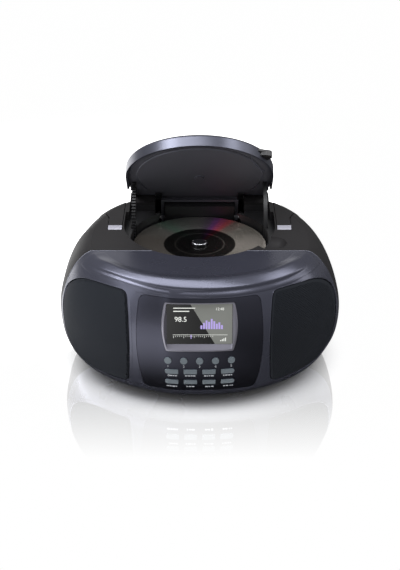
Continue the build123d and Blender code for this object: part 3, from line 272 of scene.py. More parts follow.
# %% Finishes of this radio
finishes = {
    "deck": finish("deck_plastic", (0.017, 0.016, 0.0165), 0.55, bump=0.2, bump_mm=0.03, specular=0.1),
    "front": finish("front_lacquer", (0.062, 0.064, 0.087), 0.28, metallic=0.62, bump=0.03),
    "panel": finish("panel_lacquer", (0.05, 0.051, 0.068), 0.33, metallic=0.93, bump=0.06, specular=0.3),
    "black": finish("black_plastic", (0.010, 0.010, 0.011), 0.42, bump=0.15),
    "grille": finish("grille_paint", (0.016, 0.0178, 0.0215), 0.55, specular=0.03),
    "lid": finish("lid_lacquer", (0.075, 0.078, 0.1), 0.33, metallic=0.7, bump=0.06),
    "liner": finish("liner_plastic", (0.068, 0.068, 0.082), 0.5, bump=0.2, bump_mm=0.03),
    "button": finish("button_plastic", (0.115, 0.138, 0.155), 0.4, bump=0.1),
    "screen": finish("screen_black", (0.003, 0.003, 0.004), 0.12),
    "pane": finish("screen_pane", (0.001, 0.001, 0.0012), 0.03, bump=0.0, polish=0.0, fade=0.0),
    "hub": finish("hub_black", (0.006, 0.006, 0.007), 0.18, bump=0.02),
    "print": finish("label_print", (0.42, 0.44, 0.47), 0.5, bump=0.02),
    # Lighter than the pieces they lie on: beads in these two paint thin highlights along edges.
    "line": finish("bright_edge", (0.16, 0.165, 0.2), 0.3, metallic=0.5),
    "edge": finish("soft_edge", (0.13, 0.135, 0.17), 0.35, metallic=0.4),
    # A light metal for the hub's crown bead: partly a painted highlight, as the hub itself is black.
    "crown": finish("crown_gloss", (0.5, 0.5, 0.52), 0.22, metallic=0.8),
    "bezel": finish("bezel_lacquer", (0.2, 0.195, 0.23), 0.3, metallic=0.6),
    "silver": finish("silver_trim", (0.33, 0.325, 0.37), 0.35, metallic=0.15),
    "steel": finish("plain_steel", (0.45, 0.45, 0.46), 0.36, metallic=1.0),
    "chrome": finish("aerial_chrome", (0.7, 0.7, 0.72), 0.12, metallic=1.0, bump=0.01),
    "board": finish("board_green", (0.02, 0.09, 0.04), 0.4),
    "paper": finish("cone_paper", (0.035, 0.035, 0.037), 0.75, grain=900, bump=0.4, bump_mm=0.1),
    "rubber": finish("soft_rubber", (0.012, 0.012, 0.012), 0.7, bump=0.3),
    "acetal": finish("white_acetal", (0.55, 0.54, 0.5), 0.4),
    "sleeve": finish("cell_sleeve", (0.05, 0.05, 0.07), 0.3),
}
print(f"{len(finishes)} finishes")

# %% Finishes on the solid pieces
node_finish = {
    "front_cabinet": "front", "control_panel": "panel", "left_grille": "grille", "right_grille": "grille",
    "rear_cabinet": "deck", "battery_door": "deck", "handle": "deck", "handle_caps": "silver",
    "lid_shell": "lid", "lid_liner": "liner", "display_bezel": "bezel", "display_module": "screen",
    "display_window": "pane", "turntable_hub": "hub",
    "speaker_baskets": "steel", "speaker_cones": "paper", "speaker_magnets": "steel",
    "key_board": "board", "main_board": "board", "power_transformer": "steel", "battery_cells": "sleeve",
    "battery_contacts": "steel", "rubber_feet": "rubber", "chassis_dampers": "rubber",
    "cabinet_screws": "steel", "player_chassis": "steel", "spindle_motor": "steel", "sled_rails": "steel",
    "sled_motor": "steel", "hinge_pins": "steel", "damper_gear": "acetal", "sled_gear": "acetal",
    "aerial_lower": "chrome", "aerial_middle": "chrome", "aerial_upper": "chrome",
}
for name, piece in nodes.items():
    is_button = name.endswith("_button") or name.startswith("preset_")
    piece.data.materials.clear()
    piece.data.materials.append(finishes["button" if is_button else node_finish.get(name, "black")])
print(f"{len(node_finish)} pieces named here, the others are buttons or black")

# %% [markdown]
# ## The cabinet's form
# The cabinet is one squared-off oval in plan that grows to the waist and shrinks again, so any place on its
# front can be worked out. The fine pieces below lie on that surface, and these helpers say where it is.

# %% Form of the cabinet, in millimetres
half_width, front_reach, middle_y, seam_y = 124.5, 99.5, -20.0, -40.8
waist_z, deck_z = 55.5, 112.5
front_power = 2.06  # 2 is a plain oval, and more is squarer
top_share, shoulder_power, foot_share, belly_power = 0.765, 1.62, 0.584, 2.63


def share_at(z, inset=0.0):
    """How wide the cabinet is at a height, as a share of its widest."""
    if z >= waist_z:
        t = min(1.0, (z - waist_z) / (deck_z - inset - waist_z))
        return top_share + (1 - top_share) * max(0.0, 1 - t**shoulder_power) ** (1 / shoulder_power)
    t = min(1.0, (waist_z - z) / (waist_z - inset))
    return foot_share + (1 - foot_share) * max(0.0, 1 - t**belly_power) ** (1 / belly_power)


def front_y(x, z, inset=0.0):
    """Where the front surface is, at a place seen from the front."""
    share = share_at(z, inset)
    across = min(1.0, abs(x) / ((half_width - inset) * share))
    return middle_y - (front_reach - inset) * share * (1 - across**front_power) ** (1 / front_power)


def plan_point(turn):
    """The widest outline at a turn in degrees, on the front half."""
    c, s = math.cos(math.radians(turn)), math.sin(math.radians(turn))
    return (half_width * math.copysign(abs(c) ** (2 / front_power), c),
            front_reach * math.copysign(abs(s) ** (2 / front_power), s))


print(f"front of the cabinet at the waist: {front_y(0, waist_z):.1f} mm")

# %% [markdown]
# ## Two ways to make a piece
# Some pieces are worked out point by point, so they are built from lists of points and faces. Thin lines of
# light along an edge are easier as a curve with a round bevel, which is turned into a plain mesh. Both are
# given in millimetres and ride on one body of the model.

# %% Helpers for pieces
def new_piece(name, points, faces, material, body, smooth=True):
    """A mesh piece from points in millimetres, riding on a body."""
    mesh = bpy.data.meshes.new(name)
    mesh.from_pydata([Vector(p) * MM for p in points], [], faces)
    mesh.materials.append(material)
    if smooth:
        mesh.shade_smooth()
    mesh.update()
    piece = add_to_scene(name, mesh)
    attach(piece, body)
    return piece


def plain_mesh(carrier):
    """The finished shape of a curve or of an object with modifiers, as a mesh. The object is removed."""
    mesh = bpy.data.meshes.new_from_object(carrier.evaluated_get(bpy.context.evaluated_depsgraph_get()))
    bpy.data.objects.remove(carrier)
    return mesh


def face_outwards(mesh):
    """Turn the faces of a closed mesh outwards."""
    shape = bmesh.new()
    shape.from_mesh(mesh)
    bmesh.ops.recalc_face_normals(shape, faces=shape.faces)
    shape.to_mesh(mesh)
    shape.free()


def bead(name, paths, radius, material, body):
    """A thin round line along one or more paths, made from a bevelled curve."""
    curve = bpy.data.curves.new(name, "CURVE")
    curve.dimensions = "3D"
    curve.bevel_depth, curve.bevel_resolution = radius * MM, 1
    curve.use_fill_caps = True
    for path in paths:
        spline = curve.splines.new("POLY")
        spline.points.add(len(path) - 1)
        for point, place in zip(spline.points, path):
            point.co = (*(Vector(place) * MM), 1)
    mesh = plain_mesh(add_to_scene(name, curve))
    mesh.materials.clear()
    mesh.materials.append(material)
    mesh.name = name
    piece = add_to_scene(name, mesh)
    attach(piece, body)
    return piece


def surface_of(piece):
    """A model piece as a tree that a ray can be cast on."""
    return BVHTree.FromPolygons([v.co for v in piece.data.vertices], [p.vertices for p in piece.data.polygons])


print("pieces are built in millimetres, and one is", MM, "m")

# %% [markdown]
# ## Lip and groove of the front moulding
# Above the panel the real moulding rolls over in a soft lip with a shallow groove under it, and this pair
# draws the two bright lines across the front. It is a skin a millimetre thick that grows out of the solid
# moulding and sinks back into it, so its edges can't be seen. Its height follows a profile of distance and
# height in millimetres, blurred so that no corner shows.

# %% Profile of the lip
lip_rows, lip_columns, lip_thickness = 105, 221, 0.9
lip_top, lip_foot, half_turn, front_turn = -9.5, 15.9, 73.0, 270
lip_profile = [(-9, 0.0), (-6, 0.45), (-3, 1.28), (-1.2, 1.66), (0, 1.66), (1, 1.44), (2, 1.21), (3, 1.07),
               (4, 1.0), (5.5, 1.0), (7, 1.07), (8, 1.15), (8.8, 1.05), (9.6, 0.6), (10.3, 0.2), (11, 0.08)]
second_profile = [(10.5, 0.0), (11.1, 0.06), (13.6, 0.48), (14.3, 0.44), (14.9, 0.2), (15.6, -0.1)]
profile_step, blur_mm = 0.25, 0.5
fine_along = np.arange(-12, 19, profile_step)
blur = np.exp(-np.square(np.arange(-8, 9) * profile_step / blur_mm) / 2)
first_rise, second_rise = (np.convolve(np.interp(fine_along, *zip(*rise), left=0.0, right=rise[-1][1]),
                                       blur / blur.sum(), "same") for rise in (lip_profile, second_profile))


def lip_height(along, turn):
    """How far the skin stands out of the moulding, at a distance below the deck's edge."""
    off_middle = turn - front_turn
    fade = min(1.0, max(0.0, (67.0 - abs(off_middle)) / 16.0))
    fade = fade * fade * (3 - 2 * fade)
    left = math.exp(-((off_middle + 40.0) / 17.0) ** 2)
    squeezed = along * (1 + 0.4 * left) if along > 0 else along
    second = 0.45 + 0.55 / (1 + math.exp((off_middle + 3.0) / 5.0))
    rise = np.interp(squeezed, fine_along, first_rise) * (1 - 0.15 * left)
    rise += np.interp(squeezed, fine_along, second_rise) * second
    edge = min(along - lip_top, lip_foot - along, (half_turn - abs(off_middle)) * 0.35)
    return rise * fade + 0.07 - 0.2 * max(0.0, 1 - edge)


print(f"lip: stands {lip_height(0, front_turn):.2f} mm out of the moulding in the middle")

# %% Places on the moulding under the lip
lip_steps = np.linspace(lip_top, lip_foot, lip_rows)
lip_turns = np.linspace(front_turn - half_turn, front_turn + half_turn, lip_columns)
drops = np.linspace(0, 1, 240) ** 2 * (deck_z - 60.0)
shares = np.array([share_at(deck_z - drop) for drop in drops])
places = np.zeros((lip_rows, lip_columns, 3))
for column, turn in enumerate(lip_turns):
    px, py = plan_point(turn)
    radius = math.hypot(px, py)
    run = np.concatenate([[0], np.cumsum(np.hypot(np.diff(shares) * radius, np.diff(drops)))])
    for row, along in enumerate(lip_steps):
        if along < 0:
            share, drop = top_share + along / radius, 0.0
        else:
            share, drop = np.interp(along, run, shares), np.interp(along, run, drops)
        places[row, column] = (px * share, middle_y + py * share, deck_z - drop)
outward = np.cross(np.gradient(places, axis=1), np.gradient(places, axis=0))
outward /= np.linalg.norm(outward, axis=2, keepdims=True)
outward *= np.sign(outward[:, :, 2:3] + 1e-9)
print(f"lip: {places.shape[0]} rows of {places.shape[1]} places")

# %% Lip and groove
rises = np.array([[lip_height(along, turn) for turn in lip_turns] for along in lip_steps])
top_side = (places + outward * rises[:, :, None]).reshape(-1, 3)
under_side = top_side - outward.reshape(-1, 3) * lip_thickness
count = len(top_side)
faces = []
for row in range(lip_rows - 1):
    for column in range(lip_columns - 1):
        a, b = row * lip_columns + column, (row + 1) * lip_columns + column
        faces.append((a, b, b + 1, a + 1))
        faces.append((count + a, count + a + 1, count + b + 1, count + b))
border = list(range(lip_columns)) + [r * lip_columns + lip_columns - 1 for r in range(1, lip_rows)]
border += [(lip_rows - 1) * lip_columns + c for c in range(lip_columns - 2, -1, -1)]
border += [r * lip_columns for r in range(lip_rows - 2, 0, -1)]
faces += [(a, b, count + b, count + a) for a, b in zip(border, border[1:] + border[:1])]
front_lip = new_piece("front_lip", [*top_side, *under_side], faces, finishes["front"], "cabinet")
face_outwards(front_lip.data)
print(f"front lip: {len(front_lip.data.polygons)} faces")

# %% [markdown]
# ## Punched grilles
# The real grilles are thin steel with a close hexagonal pattern of round holes. They could be cut by a
# thousand Booleans, but a small cell with one hole that is repeated is quicker and cleaner. The cells meet
# edge to edge, and the flat sheet of them is wrapped on to the cabinet's curve.

# %% One cell of the sheet
hole_pitch, hole_radius, sheet_gauge = 1.55, 0.52, 0.7


def six_corners(radius, z):
    """The corners of a hexagon that stands on a corner."""
    return [(radius * math.cos(math.radians(30 + 60 * k)), radius * math.sin(math.radians(30 + 60 * k)), z)
            for k in range(6)]


corner = hole_pitch / math.sqrt(3) * 1.01
cell_points = six_corners(corner, 0) + six_corners(hole_radius, 0) + six_corners(hole_radius, -sheet_gauge)
cell_points += six_corners(corner, -sheet_gauge - 0.4)
cell_faces = []
for k in range(6):
    n = (k + 1) % 6
    cell_faces += [(k, n, 6 + n, 6 + k), (6 + k, 6 + n, 12 + n, 12 + k)]
cell_faces.append(tuple(range(18, 24)))
cell_mesh = bpy.data.meshes.new("sheet_cell")
cell_mesh.from_pydata([Vector(p) * MM for p in cell_points], [], cell_faces)
sheet_cell = bpy.data.objects.new("sheet_cell", cell_mesh)
print(f"cell: {len(cell_faces)} faces")

# %% [markdown]
# Each grille fills a pocket whose outline leans with the cabinet. The outline is given by its corners as seen
# from the front, and averaging each place with its neighbours a few times rounds them.

# %% Outline of a grille
rounds_of_smoothing = 9
grille_rim = [
    (60.0, 101.9), (74.0, 101.8), (84.5, 101.0), (93.3, 99.6), (101.0, 96.7), (108.3, 91.1), (114.5, 83.3),
    (118.3, 73.7), (119.4, 63.0), (119.0, 52.0), (117.0, 40.0), (112.2, 30.4), (103.8, 23.6), (93.0, 20.1),
    (80.0, 19.0), (60.2, 19.0), (58.7, 38.0), (58.0, 60.0), (58.7, 82.0),
]


def grille_edge(inset):
    """The right grille's outline in X and Z, with round corners, as a closed list of points."""
    fine = []
    for (ax, az), (bx, bz) in zip(grille_rim, grille_rim[1:] + grille_rim[:1]):
        steps = max(1, int(math.hypot(bx - ax, bz - az) / 1.5))
        fine += [(ax + (bx - ax) * k / steps, az + (bz - az) * k / steps) for k in range(steps)]
    points = np.array(fine)
    for _ in range(rounds_of_smoothing):
        points = (np.roll(points, 1, 0) + 2 * points + np.roll(points, -1, 0)) / 4
    along = np.roll(points, -1, 0) - np.roll(points, 1, 0)
    inward = np.stack([along[:, 1], -along[:, 0]], 1)
    inward /= np.linalg.norm(inward, axis=1, keepdims=True)
    return points + inward * inset


def inside(x, z, loop):
    """Whether a place lies within a closed loop."""
    hit = False
    for (ax, az), (bx, bz) in zip(loop, np.roll(loop, -1, 0)):
        if (az > z) != (bz > z) and x < ax + (bx - ax) * (z - az) / (bz - az):
            hit = not hit
    return hit


print(f"grille outline: {len(grille_edge(0))} places")

# %% [markdown]
# The sheet is wrapped with the help of a skin, a plain surface in the shape of the cabinet. Its UV map is
# measured along the surface, so the holes keep their spacing round the side.

# %% Skin with a UV map measured along the surface
skin_turns, skin_heights = np.linspace(285, 352, 60), np.linspace(16, 106, 60)
surface_inset, mean_reach, uv_span = 0.3, 112, 140.0
plan = np.array([plan_point(turn) for turn in skin_turns])
skin_u = np.concatenate([[0], np.cumsum(np.hypot(*np.diff(plan, axis=0).T))])
rise = np.array([share_at(z, surface_inset) * mean_reach for z in skin_heights])
skin_v = np.concatenate([[0], np.cumsum(np.hypot(np.diff(rise), np.diff(skin_heights)))])


def skin_place(turn, z):
    """A place on the skin, at a turn in degrees and a height."""
    x, y = plan_point(turn)
    share = share_at(z, surface_inset) * (half_width - surface_inset) / half_width
    return x * share, middle_y + y * share, z


def make_skin(side):
    """The curved surface of one grille, for the punched sheet to be wrapped on."""
    points = [skin_place(turn, z) for z in skin_heights for turn in skin_turns]
    columns = len(skin_turns)
    faces = [(r * columns + c, r * columns + c + 1, (r + 1) * columns + c + 1, (r + 1) * columns + c)
             for r in range(len(skin_heights) - 1) for c in range(columns - 1)]
    mesh = bpy.data.meshes.new("grille_skin")
    mesh.from_pydata([Vector((side * x, y, z)) * MM for x, y, z in points], [], faces)
    uv = mesh.uv_layers.new(name="along_surface")
    for loop in mesh.loops:
        r, c = divmod(loop.vertex_index, columns)
        uv.data[loop.index].uv = (skin_u[c] / uv_span, skin_v[r] / uv_span)
    return bpy.data.objects.new("grille_skin", mesh)


print(f"skin: {skin_u[-1]:.0f} mm round the side, {skin_v[-1]:.0f} mm high")

# %% [markdown]
# The holes stand in rows, every other row half a step on. Only the places well inside the outline are kept,
# so that the sheet keeps a plain rim.

# %% Places of the holes
hole_edge = grille_edge(1.7)
hole_centres = []
row, v = 0, 0.0
while v < skin_v[-1]:
    z = np.interp(v, skin_v, skin_heights)
    for step in range(int(skin_u[-1] / hole_pitch)):
        u = (step + 0.5 * (row % 2)) * hole_pitch
        x = skin_place(np.interp(u, skin_u, skin_turns), z)[0]
        if inside(x, z, hole_edge):
            hole_centres.append((u, v, 0.0))
    row, v = row + 1, v + hole_pitch * math.sqrt(0.75)
print(f"{len(hole_centres)} holes in each grille")

# %% [markdown]
# The tree puts a cell on each place and makes them real. Then it reads each point's place on the flat sheet as
# a place in the skin's UV map, and moves the point to the skin, with its depth along the skin's normal.

# %% Tree that repeats the cell and wraps the sheet
punch = bpy.data.node_groups.new("punched_sheet", "GeometryNodeTree")
for name, kind in (("Geometry", "NodeSocketGeometry"), ("Cell", "NodeSocketObject"), ("Skin", "NodeSocketObject"),
                   ("UV span", "NodeSocketFloat"), ("Finish", "NodeSocketMaterial")):
    punch.interface.new_socket(name=name, in_out="INPUT", socket_type=kind)
punch.interface.new_socket(name="Geometry", in_out="OUTPUT", socket_type="NodeSocketGeometry")
inputs = add_node(punch, "NodeGroupInput")
cell = add_node(punch, "GeometryNodeObjectInfo", {"Object": inputs.outputs["Cell"]})
skin = add_node(punch, "GeometryNodeObjectInfo", {"Object": inputs.outputs["Skin"]})
spread = add_node(punch, "GeometryNodeInstanceOnPoints",
                  {"Points": inputs.outputs["Geometry"], "Instance": cell.outputs["Geometry"]})
flat = add_node(punch, "GeometryNodeRealizeInstances", {"Geometry": spread.outputs[0]})
axes = add_node(punch, "ShaderNodeSeparateXYZ", {0: add_node(punch, "GeometryNodeInputPosition").outputs[0]})
plane = add_node(punch, "ShaderNodeCombineXYZ",
                 {axis: math_node(punch, "DIVIDE", math_node(punch, "DIVIDE", axes.outputs[axis], MM),
                                  inputs.outputs["UV span"]) for axis in ("X", "Y")})
surface_uv = add_node(punch, "GeometryNodeInputNamedAttribute", {"Name": "along_surface"},
                      data_type="FLOAT_VECTOR")
on_skin, out_of_skin = (
    add_node(punch, "GeometryNodeSampleUVSurface",
             {0: skin.outputs["Geometry"], "Value": add_node(punch, kind).outputs[0],
              "Source UV Map": surface_uv.outputs[0], "Sample UV": plane.outputs[0]},
             data_type="FLOAT_VECTOR").outputs["Value"]
    for kind in ("GeometryNodeInputPosition", "GeometryNodeInputNormal"))
depth = add_node(punch, "ShaderNodeVectorMath", {0: out_of_skin, "Scale": axes.outputs["Z"]}, operation="SCALE")
total = add_node(punch, "ShaderNodeVectorMath", {0: on_skin, 1: depth.outputs[0]})
wrap = add_node(punch, "GeometryNodeSetPosition", {"Geometry": flat.outputs[0], "Position": total.outputs[0]})
solid = add_node(punch, "GeometryNodeRealizeInstances", {"Geometry": wrap.outputs[0]})
dressed = add_node(punch, "GeometryNodeSetMaterial",
                   {"Geometry": solid.outputs[0], "Material": inputs.outputs["Finish"]})
add_node(punch, "NodeGroupOutput", {0: dressed.outputs[0]})
print(f"punched sheet: {len(punch.nodes)} nodes")

# %% [markdown]
# The tree is run once for each side, and its result becomes a plain mesh. A rim is then drawn round the
# punched field, down into the pocket, and a thin bead softens the pocket's own edge. The sheet takes the
# place of the plain grille in the model.

# %% Both grilles
for side, name in ((-1, "left"), (1, "right")):
    skin = make_skin(side)
    spots = bpy.data.meshes.new("hole_places")
    spots.from_pydata([Vector(p) * MM for p in hole_centres], [], [])
    carrier = bpy.data.objects.new("hole_places", spots)
    for thing in (skin, sheet_cell, carrier):
        if thing.name not in bpy.context.scene.collection.objects:
            bpy.context.scene.collection.objects.link(thing)
    modifier = carrier.modifiers.new("punched", "NODES")
    modifier.node_group = punch
    values = {"Cell": sheet_cell, "Skin": skin, "UV span": uv_span, "Finish": finishes["grille"]}
    for item in punch.interface.items_tree:
        if item.in_out == "INPUT" and item.name in values:
            modifier[item.identifier] = values[item.name]
    mesh = plain_mesh(carrier)
    bpy.data.objects.remove(skin)
    mesh.name = f"{name}_grille_sheet"
    mesh.materials.clear()
    mesh.materials.append(finishes["grille"])
    sheet = add_to_scene(mesh.name, mesh)
    shape = bmesh.new()
    shape.from_mesh(mesh)
    for face in shape.faces:
        face.material_index = 0
    outer, inner = grille_edge(0.6), grille_edge(2.3)
    rims = []
    for loop, lift in ((outer, -0.9), (outer, 0.02), (inner, 0.02), (inner, -0.6)):
        rims.append([shape.verts.new(Vector((side * x, front_y(x, z, surface_inset) - lift, z)) * MM)
                     for x, z in loop])
    for upper, lower in zip(rims, rims[1:]):
        for k in range(len(upper)):
            n = (k + 1) % len(upper)
            shape.faces.new((upper[k], upper[n], lower[n], lower[k]))
    bmesh.ops.recalc_face_normals(shape, faces=shape.faces)
    shape.to_mesh(mesh)
    shape.free()
    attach(sheet, "cabinet")
    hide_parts(f"{name}_grille")
    path = [(side * x, front_y(x, z) + 0.14, z) for x, z in grille_edge(-0.3)]
    bead(f"{name}_grille_edge", [path + path[:1]], 0.3, finishes["front"], "cabinet")
    print(f"{name} grille: {len(mesh.polygons)} faces")
bpy.data.objects.remove(sheet_cell)

# %% [markdown]
# ## Disc
# A pressed disc is a mirror under clear plastic, with a dark clamping zone in the middle and a moulded
# ring. Its fine track splits light into colours along a few directions from the centre. Those colours, and a
# lighter and a darker side of the mirror, are a painted reflection: set by their angle about the disc's axis,
# faintly, over a semi-mirror, so they turn with the disc. Rings of dark and bright are set by the distance from
# it, and the thin bright rings are painted highlights.

# %% Angle and distance on the disc
disc_middle_y = 7.6
disc_material = finish("disc_mirror", (0.2, 0.19, 0.165), 0.2, bump=0.0, metallic=0.75, coat=0.4,
                       coat_roughness=0.05, polish=0.03)
tree = disc_material.node_tree
centred = add_node(tree, "ShaderNodeMapping", {"Vector": add_node(tree, "ShaderNodeTexCoord").outputs["Object"],
                                               "Location": (0, -disc_middle_y * MM, 0)})
axes = add_node(tree, "ShaderNodeSeparateXYZ", {0: centred.outputs[0]})
angle = math_node(tree, "MULTIPLY", math_node(tree, "ARCTAN2", axes.outputs["Y"], axes.outputs["X"]),
                  0.5 / math.pi)
angle = math_node(tree, "FRACT", math_node(tree, "ADD", angle, 1.0), 0.0)
radius = math_node(tree, "POWER", math_node(tree, "ADD", math_node(tree, "POWER", axes.outputs["X"], 2.0),
                                            math_node(tree, "POWER", axes.outputs["Y"], 2.0)), 0.5)


def colour_ramp(value, stops, kind):
    """The disc's colours along a value from 0 to 1."""
    ramp = add_node(tree, "ShaderNodeValToRGB", {0: value})
    ramp.color_ramp.interpolation = kind
    while len(ramp.color_ramp.elements) < len(stops):
        ramp.color_ramp.elements.new(0.5)
    for element, (position, colour) in zip(ramp.color_ramp.elements, stops):
        element.position, element.color = position, (*colour, 1)
    return ramp.outputs[0]


print(f"disc: {len(nodes['disc'].data.polygons)} faces")

# %% Painted sheen by angle, and rings
stops_per_metre = 10.0
# Painted reflection by angle: the rainbow wedge, and the lighter and darker sides of the mirror.
painted_sheen_stops = [(0.0, (0.54, 0.49, 0.43)), (0.1, (0.42, 0.385, 0.33)), (0.148, (0.45, 0.33, 0.28)),
               (0.168, (1.0, 0.17, 0.2)), (0.186, (0.85, 0.15, 0.36)), (0.202, (0.42, 0.14, 0.5)),
               (0.222, (0.24, 0.18, 0.26)), (0.25, (0.27, 0.26, 0.25)), (0.31, (0.21, 0.23, 0.205)),
               (0.35, (0.14, 0.21, 0.16)), (0.39, (0.15, 0.145, 0.13)), (0.47, (0.13, 0.115, 0.1)),
               (0.62, (0.15, 0.135, 0.12)), (0.85, (0.36, 0.33, 0.28)), (1.0, (0.54, 0.49, 0.43))]
# The dark zones are the disc's own; the thin bright rings are painted highlights.
ring_and_highlight_levels = [(0.0, 0.03), (0.190, 0.03), (0.216, 0.05), (0.222, 0.4), (0.228, 0.05), (0.31, 0.05),
               (0.316, 0.09), (0.322, 0.05), (0.327, 1.0), (0.588, 1.0), (0.594, 1.5), (0.6, 0.4)]
painted_sheen = colour_ramp(angle, painted_sheen_stops, "EASE")
rings = colour_ramp(math_node(tree, "MULTIPLY", radius, stops_per_metre),
                    [(position, (level,) * 3) for position, level in ring_and_highlight_levels], "LINEAR")
painted = add_node(tree, "ShaderNodeVectorMath", {0: painted_sheen, 1: rings}, operation="MULTIPLY")
fill(tree, tree.nodes["Principled BSDF"], {"Base Color": painted.outputs[0]})
nodes["disc"].data.materials.clear()
nodes["disc"].data.materials.append(disc_material)
print(f"disc: {len(painted_sheen_stops)} stops round it, {len(ring_and_highlight_levels)} out from the middle")

# %% [markdown]
# ## Flat shapes laid on a surface
# The screen's shapes, with a painted reflection on its pane, and the printed marks are all thin flat shapes.
# They are drawn in a plane, as letters, bars and rings, and each point is then laid on the pane or on the panel,
# so the marks follow its curve.

# %% Flat shapes
def text_shape(text, size, x, y):
    """Letters or figures as flat points and faces, about their middle."""
    curve = bpy.data.curves.new("text", "FONT")
    curve.body, curve.size, curve.align_x, curve.align_y = text, size, "CENTER", "CENTER"
    mesh = plain_mesh(add_to_scene("text", curve))
    points = [(x + v.co.x, y + v.co.y) for v in mesh.vertices]
    faces = [tuple(p.vertices) for p in mesh.polygons]
    bpy.data.meshes.remove(mesh)
    return points, faces


def bar_shape(x, y, width, height):
    """A bar about its middle."""
    w, h = width / 2, height / 2
    return [(x - w, y - h), (x + w, y - h), (x + w, y + h), (x - w, y + h)], [(0, 1, 2, 3)]


def ring_shape(x, y, radius, inner, count=28):
    """A flat ring."""
    points = [(x + radius * math.cos(2 * math.pi * k / count), y + radius * math.sin(2 * math.pi * k / count))
              for k in range(count)]
    points += [(x + (px - x) * inner / radius, y + (py - y) * inner / radius) for px, py in points]
    return points, [(k, (k + 1) % count, count + (k + 1) % count, count + k) for k in range(count)]


def laid_shapes(name, shapes, lay, material):
    """Flat shapes, laid on a surface as one piece."""
    points, faces = [], []
    for shape_points, shape_faces in shapes:
        start = len(points)
        points += [lay(*p) for p in shape_points]
        faces += [tuple(start + k for k in face) for face in shape_faces]
    piece = new_piece(name, points, faces, material, "cabinet", smooth=False)
    shape = bmesh.new()
    shape.from_mesh(piece.data)
    for face in shape.faces:
        if face.normal.y > 0:
            face.normal_flip()
    shape.to_mesh(piece.data)
    shape.free()
    return piece


print("flat shapes are laid with their faces to the front")

# %% [markdown]
# ## Screen
# The real screen is a small colour panel behind a glossy black pane. It shows a plain tuner page here: a
# frequency, a clock, a row of level bars, a tuning scale and a signal mark. The pane leans back, so places on it
# are counted from its middle, across and up the lean. The shapes glow, because a screen is its own light. A
# lighter grey field right of a slanted edge is a painted reflection on the pane, and it glows as well.

# %% Places on the screen
screen_lean = math.radians(10.8)
screen_origin = Vector((0, -109.3, 79.1))
screen_up = Vector((0, math.sin(screen_lean), math.cos(screen_lean)))
screen_out = Vector((0, -math.cos(screen_lean), math.sin(screen_lean)))


def on_screen(x, y, lift=0.06):
    """A place just in front of the pane."""
    return screen_origin + Vector((x, 0, 0)) + screen_up * y + screen_out * lift


def on_glare_layer(x, y):
    """A place between the pane and the marks."""
    return on_screen(x, y, 0.03)


def glow_finish(name, colour, strength):
    """A finish that gives light of its own colour."""
    material = finish(name, colour, 0.4, bump=0.0)
    fill(material.node_tree, material.node_tree.nodes["Principled BSDF"],
         {"Emission Color": (*colour, 1), "Emission Strength": strength})
    return material


print(f"screen: leans back {math.degrees(screen_lean):.1f} degrees")

# %% Screen page, with a painted reflection
screen_white = glow_finish("screen_white", (0.5, 0.51, 0.48), 0.85)
screen_grey = glow_finish("screen_grey", (0.1, 0.103, 0.094), 0.85)
screen_lilac = glow_finish("screen_lilac", (0.25, 0.2, 0.42), 0.75)
page_left, scale_y = -21.5, -9.6
white_shapes = [text_shape("98.5", 6.0, -15.5, 3.6), text_shape("12:48", 3.2, 16.5, 12.6),
                bar_shape(0.5, scale_y, 45.0, 0.3)]
for line, reach in enumerate((18.0, 13.0)):
    white_shapes.append(bar_shape(page_left + reach / 2, 13.4 - line * 2.7, reach, 0.8))
for step in range(20):
    tall = 1.9 if step % 5 == 0 else 1.0
    white_shapes.append(bar_shape(page_left + step * 1.7, scale_y - 0.8 - tall / 2, 0.3, tall))
for step in range(4):
    white_shapes.append(bar_shape(17.4 + step * 1.3, -14.6 + step * 0.35, 0.7, 1.0 + step * 0.7))
levels = (3.2, 5.4, 7.4, 6.2, 8.8, 6.8, 4.6, 5.8, 3.4)
lilac_shapes = [bar_shape(1.5 + k * 2.1, -4.6 + level / 2, 1.5, level) for k, level in enumerate(levels)]
lilac_shapes.append(bar_shape(-7.0, -11.3, 0.7, 3.4))
# Painted reflection: a lighter grey field right of a slanted edge, glowing, as a lamp would show in the pane.
glare_wedge = [([(-7.9, 17.5), (26.8, 17.5), (26.8, -17.5), (12.6, -17.5)], [(0, 1, 2, 3)])]
laid_shapes("screen_page", glare_wedge, on_glare_layer, screen_grey)
laid_shapes("screen_marks", white_shapes, on_screen, screen_white)
laid_shapes("screen_levels", lilac_shapes, on_screen, screen_lilac)
print(f"screen: {len(white_shapes)} white shapes, {len(lilac_shapes)} lilac")

# %% [markdown]
# ## Printed marks
# Small pale marks sit under the buttons. The round ones carry plain numbers, and the bars plain signs and
# dashes. A ray cast back on the panel finds the height of its curve under each point.

# %% Places on the panel, and rows of dashes
panel_surface = surface_of(nodes["control_panel"])
dash_gap, dash_tall = 0.55, 1.15


def on_panel(x, z):
    """A place just in front of the panel."""
    hit = panel_surface.ray_cast(Vector((x, -200, z)) * MM, Vector((0, 1, 0)))[0]
    return Vector((x, (hit.y / MM if hit else front_y(x, z)) - 0.05, z))


def dashes(x, z, lengths):
    """A short row of marks, centred."""
    total = sum(lengths) + dash_gap * (len(lengths) - 1)
    shapes, start = [], x - total / 2
    for reach in lengths:
        shapes.append(bar_shape(start + reach / 2, z, reach, dash_tall))
        start += reach + dash_gap
    return shapes


print(f"panel: {len(nodes['control_panel'].data.polygons)} faces to lay marks on")

